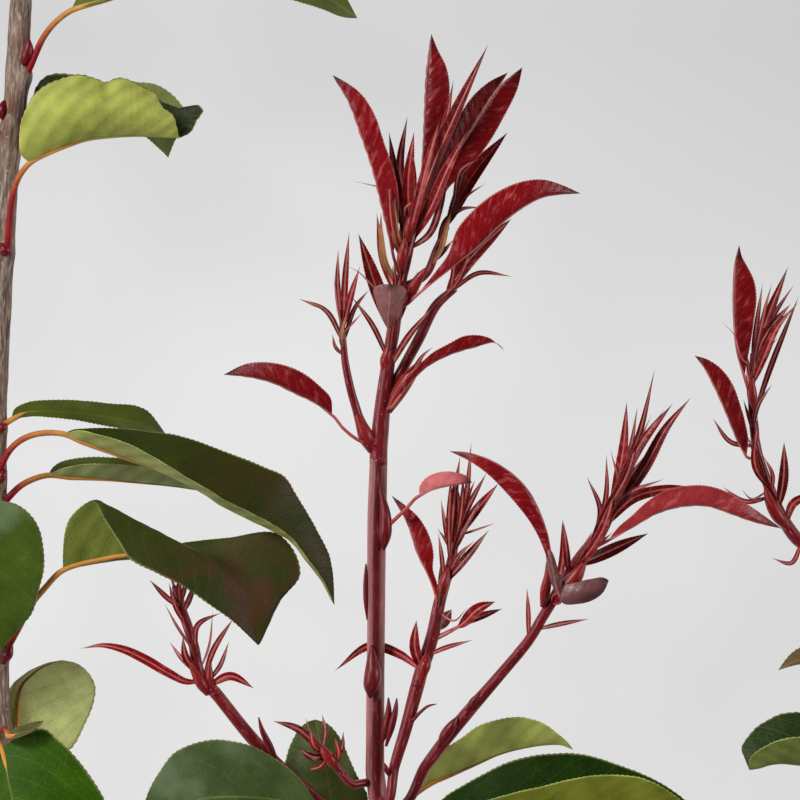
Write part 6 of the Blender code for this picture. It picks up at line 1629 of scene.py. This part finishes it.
            Blade([(-66, -62), (-66.5, -57, 40), (-66, -52, 41)], 1.0),
            Blade([(-65, -64), (-63, -59, 40), (-61.5, -54.5, 41)], 1.0),
            Blade([(-66.5, -62), (-64.6, -55.6, 38.5), (-64, -50, 39)], 0.8),
        ], seeded=5, reach=9, scales=[
        [(-57.8, -88.6, 36.6, 0.8), (-59.6, -85.6, 37.8, 1.7), (-62, -81.4, 38.4, 1.1),
         (-64.8, -75, 38.8, 0.15)],
        [(-56.6, -87.6, 36.4, 0.6), (-57.2, -83.8, 37.6, 1.3), (-57.2, -79.6, 38.2, 0.6),
         (-56.8, -76, 38.4, 0.15)],
    ]),
    "low_mass": Mass("low_shoot",
        [(-21.5, -107.5, 44, 1.3), (-25, -103.5, 44.5, 1.1), (-27.5, -99.5, 44.5, 0.7)],
        blades=[
            Blade([(-24, -104.5), (-31, -98.5, 47), (-38, -96.3, 48)], 1.3),
            Blade([(-23, -105), (-22.5, -99, 43), (-23.4, -94.5, 42)], 0.8),
            Blade([(-21, -108), (-17.5, -104.5, 48), (-17, -99.5, 50)], 0.9),
            Blade([(-22, -107), (-26.5, -107, 48), (-30.5, -104.5, 49)], 1.3),
            Blade([(-20, -110), (-18.4, -106, 47.5), (-19.6, -101, 48.5)], 0.9),
            Blade([(-22, -107), (-24, -110, 47), (-27.5, -111, 47.5)], 0.9),
            Blade([(-23, -106), (-26, -103.4, 48.4), (-27, -98.6, 49)], 1.1),
        ], seeded=3, reach=6, scales=[
        [(-18.8, -110.8, 44, 0.6), (-20.6, -108.4, 45.6, 1.7), (-22.6, -105.8, 46, 1.4),
         (-24.6, -103, 46, 0.3)],
    ]),
    "top_mass": Mass("main_stem",
        [(-110.3, 174, 45, 2.0), (-108.5, 184, 44, 1.6), (-106, 200, 43, 0.7)], seeded=16,
        reach=30),
}


# Each kind of noise on a limb: its seed, the ring's radius in cells and a cell's length
LIMB_NOISE = ((1, 3.2, 9.0), (2, 7.5, 3.2), (3, 1.3, 14.0))


@dataclass(frozen=True)
class LimbCut:
    """How a limb's skin is made: the step from ring to ring, its sides and its relief.

    The relief is the size of each kind of noise, and the height and the width of the
    swelling at a root.
    """

    step: float
    sides: int
    sizes: tuple[float, float, float]
    swelling: float
    spread: float


WOODY_CUT = LimbCut(0.8, 56, (0.20, 0.12, 0.22), 1.1, 3.0)
BARE_CUT = LimbCut(0.7, 28, (0.04, 0.02, 0.10), 0.5, 1.8)


@dataclass
class Limbs:
    """The stem, the boughs and the bare shoots, with where every leaf leaves them."""

    lines: dict[str, np.ndarray] = field(default_factory=dict)
    fine: dict[str, np.ndarray] = field(default_factory=dict)

    def __post_init__(self) -> None:
        """Work out each limb's coarse line, as its solid has it, and its fine one."""
        for name, limb in LIMBS.items():
            route = list(limb.route)
            if limb.parent:
                carrier = even(self.lines[limb.parent], 2 * FINE)
                step = unit(carrier[-1, :3] - carrier[-2, :3])
                ahead = np.array(route[0][:3]) - carrier[-1, :3]
                if ahead.dot(step) > AHEAD * np.linalg.norm(ahead):
                    start, out, radius = carrier[-1, :3] + step * GAP, step, carrier[-1, 3]
                else:
                    start, out = surface_start(carrier, route[0][:3])
                    radius = route[0][3]
                route.insert(0, tuple(start + out * BASE_RUN) + (radius,))
                route.insert(0, tuple(start) + (radius,))
            fine = smooth(route)
            self.fine[name] = fine
            steps = max(4, round(length_of(fine) / LIMB_STEP))
            self.lines[name] = pick(fine, base_shares(fine, steps))

    def start(self, limb: str, toward: Point) -> tuple[np.ndarray, np.ndarray]:
        """Where a leaf starts on a limb's surface, and the direction out of it."""
        return surface_start(even(self.lines[limb], 2 * FINE), toward)

    def build(self, roots: dict[str, list[np.ndarray]]) -> None:
        """Make every limb with its relief.

        Bark rises and falls with noise drawn out along the limb, and swells round
        each leaf's root by a bell curve of the distance from it.

        Args:
            roots: For each limb, the points where leaves and other limbs leave it.
        """
        bark = BarkFinish().material()
        red = RedStemFinish().material()
        centre = RedStemFinish("centre_stem", painted_sheen=0.42, shine=0.5).material()
        scales = Skin("limb_scales")
        beads(scales, SCALES)
        scales.finish(BUD_FINISH.material(), "red_stem", [])
        for name, limb in LIMBS.items():
            woody = limb.slot == "bark"
            fine = self.fine[name]
            cut = WOODY_CUT if woody else BARE_CUT
            count = round(length_of(fine) / cut.step)
            line = pick(fine, np.linspace(0.0, 1.0, count))
            if limb.parent:
                line[0, :3] -= unit(line[1, :3] - line[0, :3]) * LIMB_SINK
            run = np.linspace(0.0, length_of(fine), count)
            relief = np.zeros((count, cut.sides))
            for size, (seed, around, along) in zip(cut.sizes, LIMB_NOISE):
                relief = relief + size * noise_round(run, cut.sides, around, along, seed)
            _, side, up = frames(line)
            turn = turns(cut.sides)[:, None]
            surface = line[:, None, :3] + line[:, None, 3:] * (
                side[:, None] * np.cos(turn) + up[:, None] * np.sin(turn))
            for root in roots.get(name, []):
                away = np.linalg.norm(surface - root, axis=-1)
                relief = relief + cut.swelling * np.exp(-((away / cut.spread) ** 2))
            fade = np.clip(np.minimum(run, run[-1] - run) / 1.5, 0.0, 1.0)[:, None]
            skin = Skin("limb_" + name)
            tube(skin, line, cut.sides, relief=relief * fade)
            finish = bark if woody else red
            skin.finish(centre if name == "centre_shoot" else finish, limb.slot, [name])


def base_shares(line: np.ndarray, count: int) -> np.ndarray:
    """Even shares along a line, after a first short one."""
    return np.concatenate(([0.0], np.linspace(BASE_RUN / length_of(line), 1.0, count - 1)))


def surface_start(line: np.ndarray, toward: Point | np.ndarray) -> tuple[np.ndarray, np.ndarray]:
    """Where a side piece starts on a limb, just clear of its surface and facing a point.

    Args:
        line: The limb's line, with its radius.
        toward: The point that it faces.

    Returns:
        The start, and the direction out of the limb.
    """
    target = np.array(toward, dtype=float)
    nearest = int(np.argmin(np.linalg.norm(line[:, :3] - target, axis=1)))
    tangent = unit(np.gradient(line[:, :3], axis=0)[nearest])
    out = target - line[nearest, :3]
    out = unit(out - tangent * out.dot(tangent))
    return line[nearest, :3] + out * (line[nearest, 3] + GAP), out


@dataclass
class OldLeaves:
    """The green leaves of last year, each on its own limb."""

    limbs: Limbs
    roots: dict[str, list[np.ndarray]] = field(default_factory=dict)

    def root(self, limb: str, toward: Point) -> tuple[np.ndarray, np.ndarray]:
        """Note where a leaf starts on its limb; gives that point and the direction out of it."""
        start, out = self.limbs.start(limb, toward)
        self.roots.setdefault(limb, []).append(start)
        return start, out

    def add(self, name: str, limb: str, blade: Blade, material: bpy.types.Material) -> None:
        """Make one leaf beyond the view, from the surface of its limb.

        Args:
            name: The node that it replaces.
            limb: The limb that carries it.
            blade: Its form.
            material: Its finish.
        """
        start, out = self.root(limb, blade.way[0])
        way = [tuple(start - out * 0.8), tuple(start + out * BASE_RUN), *blade.way[1:]]
        skin = Skin(name + "_blade")
        LeafCut(Detail.FAR, tooth=1.6).leaf(skin, blade, way, random.Random(name).random())
        skin.finish(material, "green_leaf", [name])

    def lead(self, name: str, old: Old) -> None:
        """Make one led leaf, with a stalk that starts inside its limb.

        Args:
            name: The node that it replaces.
            old: The leaf.
        """
        vein_step = VEIN_STEP if old.crinkle < 2.0 else NARROW_STEP
        cut = LeafCut(Detail.CLOSE, quilt=0.22 * old.crinkle, vein_step=vein_step)
        start, out = self.root(old.limb, old.form.stalk[0])
        form = Led([tuple(start - out), *old.form.stalk[1:]], old.form.guides)
        skin = Skin(name + "_blade")
        cut.led(skin, form, random.Random(name).random())
        skin.finish(old.finish.material(), "green_leaf", [name])

    def build(self) -> None:
        """Make the leaves that show, then those beyond the view."""
        for name, old in LEAVES.items():
            self.lead(name, old)
        young = YoungLeafFinish("shoot").material()
        cut = replace(YOUNG_CUT, thickness=0.24, tooth_height=0.18, vein_step=2.6, rib=0.62)
        skin = Skin("shoot_leaf_blade")
        cut.led(skin, SHOOT_LEAF.led(SHOOT_LEAF_ROOT), SHOOT_LEAF.tone)
        skin.finish(young, "red_leaf", ["shoot_leaf"])
        old = OldLeafFinish("old").material()
        for name, (limb, share, heading, length, crest, tip, wide, roll) in OUTER_LEAVES.items():
            line = even(self.limbs.lines[limb], 2 * FINE)
            way = self.outer_way(line[round(share * (len(line) - 1))], heading, length, crest, tip)
            self.add(name, limb, Blade(way, wide, roll, 16, 0.18), old)

    def outer_way(
        self, start: np.ndarray, heading: float, length: float, crest: float, tip: float
    ) -> list[Point]:
        """The way of a leaf beyond the view: out of its limb, over its crest and down.

        Args:
            start: The point of the limb's line.
            heading: The direction in degrees.
            length: The whole length.
            crest: The crest's height above the start.
            tip: The tip's height above the floor.

        Returns:
            The points of the way.
        """
        turn = math.radians(heading)
        shares = np.array((0.1, 0.3, 0.55, 0.8, 1.0))
        heights = start[2] + crest * np.array((0.35, 0.9, 1.0, 0.6, 0.0))
        heights[3] = 0.5 * (heights[2] + tip)
        heights[4] = tip
        flat = start[:2] + np.outer(shares * length, (math.cos(turn), math.sin(turn)))
        return [(x, y, z) for (x, y), z in zip(flat, heights)]


@dataclass
class LeafyEnd:
    """The leafy end of one shoot: its stem and twigs, and its young leaves on them."""

    name: str
    mass: Mass
    limb_line: np.ndarray

    def lines(self) -> list[np.ndarray]:
        """The fine lines of the stem and the twigs, the stem's first."""
        step = unit(self.limb_line[-1, :3] - self.limb_line[-2, :3])
        foot = self.limb_line[-1, :3] + step * GAP
        radius = self.limb_line[-1, 3]
        start = [tuple(foot - step * 2.0) + (radius,), tuple(foot + step * BASE_RUN) + (radius,)]
        return [smooth(line) for line in (start + self.mass.stem, *self.mass.twigs)]

    def nearest(self, lines: list[np.ndarray], spot: Point) -> Point:
        """The point on any of the lines that lies under a spot of the view, off its foot."""
        clear = int(FINE * ROOT_CLEAR / length_of(lines[0])) + 1
        away = [np.hypot(line[:, 0] - spot[0], line[:, 1] - spot[1]) for line in lines]
        best = min(range(len(lines)), key=lambda k: away[k].min())
        return tuple(lines[best][max(int(np.argmin(away[best])), clear), :3])

    def seeded(self, stem: np.ndarray, draw: random.Random) -> list[Blade]:
        """Young leaves set round the stem, rising along it and out to the front and back.

        Args:
            stem: The stem's fine line.
            draw: The source of chance.

        Returns:
            The leaves, with roots on the stem's own line.
        """
        blades = []
        tangent, side, front = frames(stem)
        for k in range(self.mass.seeded):
            share = 0.35 + 0.62 * (k + 0.5) / self.mass.seeded
            index = int(share * (len(stem) - 1))
            turn = math.radians(GOLDEN_ANGLE * k + draw.uniform(-15, 15))
            out = 0.45 * math.sin(turn) * side[index] + math.cos(turn) * front[index]
            long = self.mass.reach * draw.uniform(0.7, 1.0)
            way = [tuple(stem[index, :3] + tangent[index] * (a * long) + out * (b * long))
                   for a, b in ((0.0, 0.0), (0.5, 0.22), (1.0, 0.5))]
            blades.append(Blade(way, 0.055 * long, math.degrees(turn) * 0.3 % 60 - 30, 22))
        return blades

    def build(
        self, draw: random.Random, stem_finish: bpy.types.Material,
        leaf_finish: bpy.types.Material
    ) -> None:
        """Make the twigs as one piece, their scales, the leaves, and the flaps and bracts.

        Args:
            draw: The source of chance, shared by all ends.
            stem_finish: The finish of the twigs.
            leaf_finish: The finish of the leaves.
        """
        lines = self.lines()
        blades = self.mass.blades + self.seeded(lines[0], draw)
        twigs = Skin(self.name + "_twigs")
        for k, line in enumerate(lines):
            count = round(length_of(line) / TWIG_STEP)
            run = np.linspace(0.0, length_of(line), count)
            relief = 0.10 * noise_round(run, TWIG_SIDES, 1.4, 5.0, 20 + k)
            tube(twigs, pick(line, np.linspace(0.0, 1.0, count)), TWIG_SIDES, relief=relief)
        twigs.finish(stem_finish, "red_leaf", [self.name])
        if self.mass.scales:
            scales = Skin(self.name + "_scales")
            beads(scales, self.mass.scales)
            scales.finish(SCALE_FINISH.material(), "red_leaf", [])
        leaves = Skin(self.name + "_leaves")
        chance = random.Random(self.name)
        for blade in blades:
            tone = 0.14 + 0.6 * chance.random()
            self.rooted(lines, blade, leaves, self.cut(blade.half_width), tone)
        for half in self.mass.halves:
            cut = replace(
                YOUNG_CUT, thickness=0.28, quilt=0.30 * half.bumps, ripple=0.25, rib=0.55)
            cut.led(leaves, half.led(self.nearest(lines, half.root)), half.tone)
        leaves.finish(leaf_finish, "red_leaf", [self.name])
        if self.mass.flaps:
            bracts = Skin(self.name + "_bracts")
            cut = replace(YOUNG_CUT, thickness=0.4, tooth_height=0.0, quilt=0.05, ripple=0.3)
            for flap in self.mass.flaps:
                stalk = [self.nearest(lines, flap.stalk[0]), *flap.stalk[1:]]
                cut.led(bracts, Led(stalk, flap.guides), 0.0)
            for blade in self.mass.bracts:
                self.rooted(lines, blade, bracts, cut, 0.4)
            bracts.finish(self.mass.flap_finish.material(), "red_leaf", [])

    def cut(self, wide: float) -> LeafCut:
        """How a young leaf of some half width is made: a narrow one is a plain spike."""
        if wide <= WIDEST_SPIKE:
            return SPIKE_CUT
        return replace(
            YOUNG_CUT, tooth_height=0.05 * min(wide, 4), vein_step=2.6, quilt=0.03 * wide,
            ripple=0.06 * wide, rib=min(0.75, 0.25 + 0.08 * wide))

    def rooted(
        self, lines: list[np.ndarray], blade: Blade, skin: Skin, cut: LeafCut, tone: float
    ) -> None:
        """Add a leaf whose root is moved onto the nearest of the lines.

        Args:
            lines: The stem's line and the twigs' lines.
            blade: The leaf's form.
            skin: The mesh in the making.
            cut: How finely the leaf is made.
            tone: The tone of this leaf.
        """
        cut.leaf(skin, blade, [self.nearest(lines, blade.way[0]), *blade.way[1:]], tone)


@dataclass
class Studio:
    """The pale floor, the soft lights and the camera straight above the view's middle.

    Lengths are in metres. The focus is the height over the floor where the view has its
    width, and the camera stands its own height above that.
    """

    height: float = 4.0
    focus: float = 0.048
    view_width: float = 0.240
    sensor: float = 36.0
    floor_reach: float = 6.0

    def floor(self) -> None:
        """A wide flat plate at the floor's height."""
        mesh = bpy.data.meshes.new("floor")
        far = self.floor_reach
        corners = [(-far, -far, 0.0), (far, -far, 0.0), (far, far, 0.0), (-far, far, 0.0)]
        mesh.from_pydata(corners, [], [(0, 1, 2, 3)])
        mesh.materials.append(FloorFinish().material())
        floor = bpy.data.objects.new("floor", mesh)
        bpy.context.scene.collection.objects.link(floor)

    def camera(self) -> None:
        """The camera, with the view's top along +Y."""
        data = bpy.data.cameras.new("camera")
        data.sensor_width = self.sensor
        data.lens = self.sensor * self.height / self.view_width
        data.clip_start = 0.1
        data.clip_end = 100.0
        made = bpy.data.objects.new("camera", data)
        made.location = (PLACE[0] * MM, PLACE[1] * MM, PLACE[2] * MM + self.focus + self.height)
        bpy.context.scene.collection.objects.link(made)
        bpy.context.scene.camera = made

    def lamp(self, name: str, place: Point, size: float, power: float) -> None:
        """A square lamp that faces the middle of the branch.

        Args:
            name: Its name.
            place: Where it is, in metres.
            size: The length of its side.
            power: Its power in watts.
        """
        data = bpy.data.lights.new(name, "AREA")
        data.shape = "SQUARE"
        data.size = size
        data.energy = power
        made = bpy.data.objects.new(name, data)
        back = unit(np.array(place, dtype=float))
        side = unit(np.cross((0.0, 1.0, 0.001), back))
        turn = np.eye(4)
        turn[:3, :3] = np.column_stack((side, np.cross(back, side), back))
        turn[:3, 3] = place
        made.matrix_world = Matrix(turn.tolist())
        made.visible_camera = False
        bpy.context.scene.collection.objects.link(made)

    def build(self) -> None:
        """Set up floor, lights, surroundings and camera."""
        self.floor()
        self.camera()
        self.lamp("key", (-1.5, 1.4, 1.9), 0.7, 60.0)
        self.lamp("left", (-2.0, -0.1, 1.3), 1.0, 24.0)
        self.lamp("rim", (2.1, 0.2, 1.1), 0.8, 26.0)
        self.lamp("front", (-0.4, -2.2, 1.8), 1.2, 5.0)
        world = bpy.data.worlds.new("surroundings")
        world.use_nodes = True
        shade = world.node_tree.nodes["Background"]
        shade.inputs["Color"].default_value = (1.0, 0.99, 0.97, 1.0)
        shade.inputs["Strength"].default_value = 0.07
        bpy.context.scene.world = world
        bpy.context.scene.view_settings.view_transform = "Standard"
        LOG.info("studio ready")


def main() -> None:
    """Build the branch from its limbs out to its leaves, then the studio."""
    logging.basicConfig(level=logging.INFO, format="%(name)s: %(message)s")
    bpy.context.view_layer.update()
    limbs = Limbs()
    leaves = OldLeaves(limbs)
    leaves.build()
    draw = random.Random(SEED)
    stem_finish = RedStemFinish("leafy_end_stem").material()
    leaf_finish = YoungLeafFinish().material()
    for name, mass in MASSES.items():
        LeafyEnd(name, mass, limbs.lines[mass.limb]).build(draw, stem_finish, leaf_finish)
    limbs.build(leaves.roots)
    Studio().build()
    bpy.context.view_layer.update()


if __name__ == "__main__":
    main()
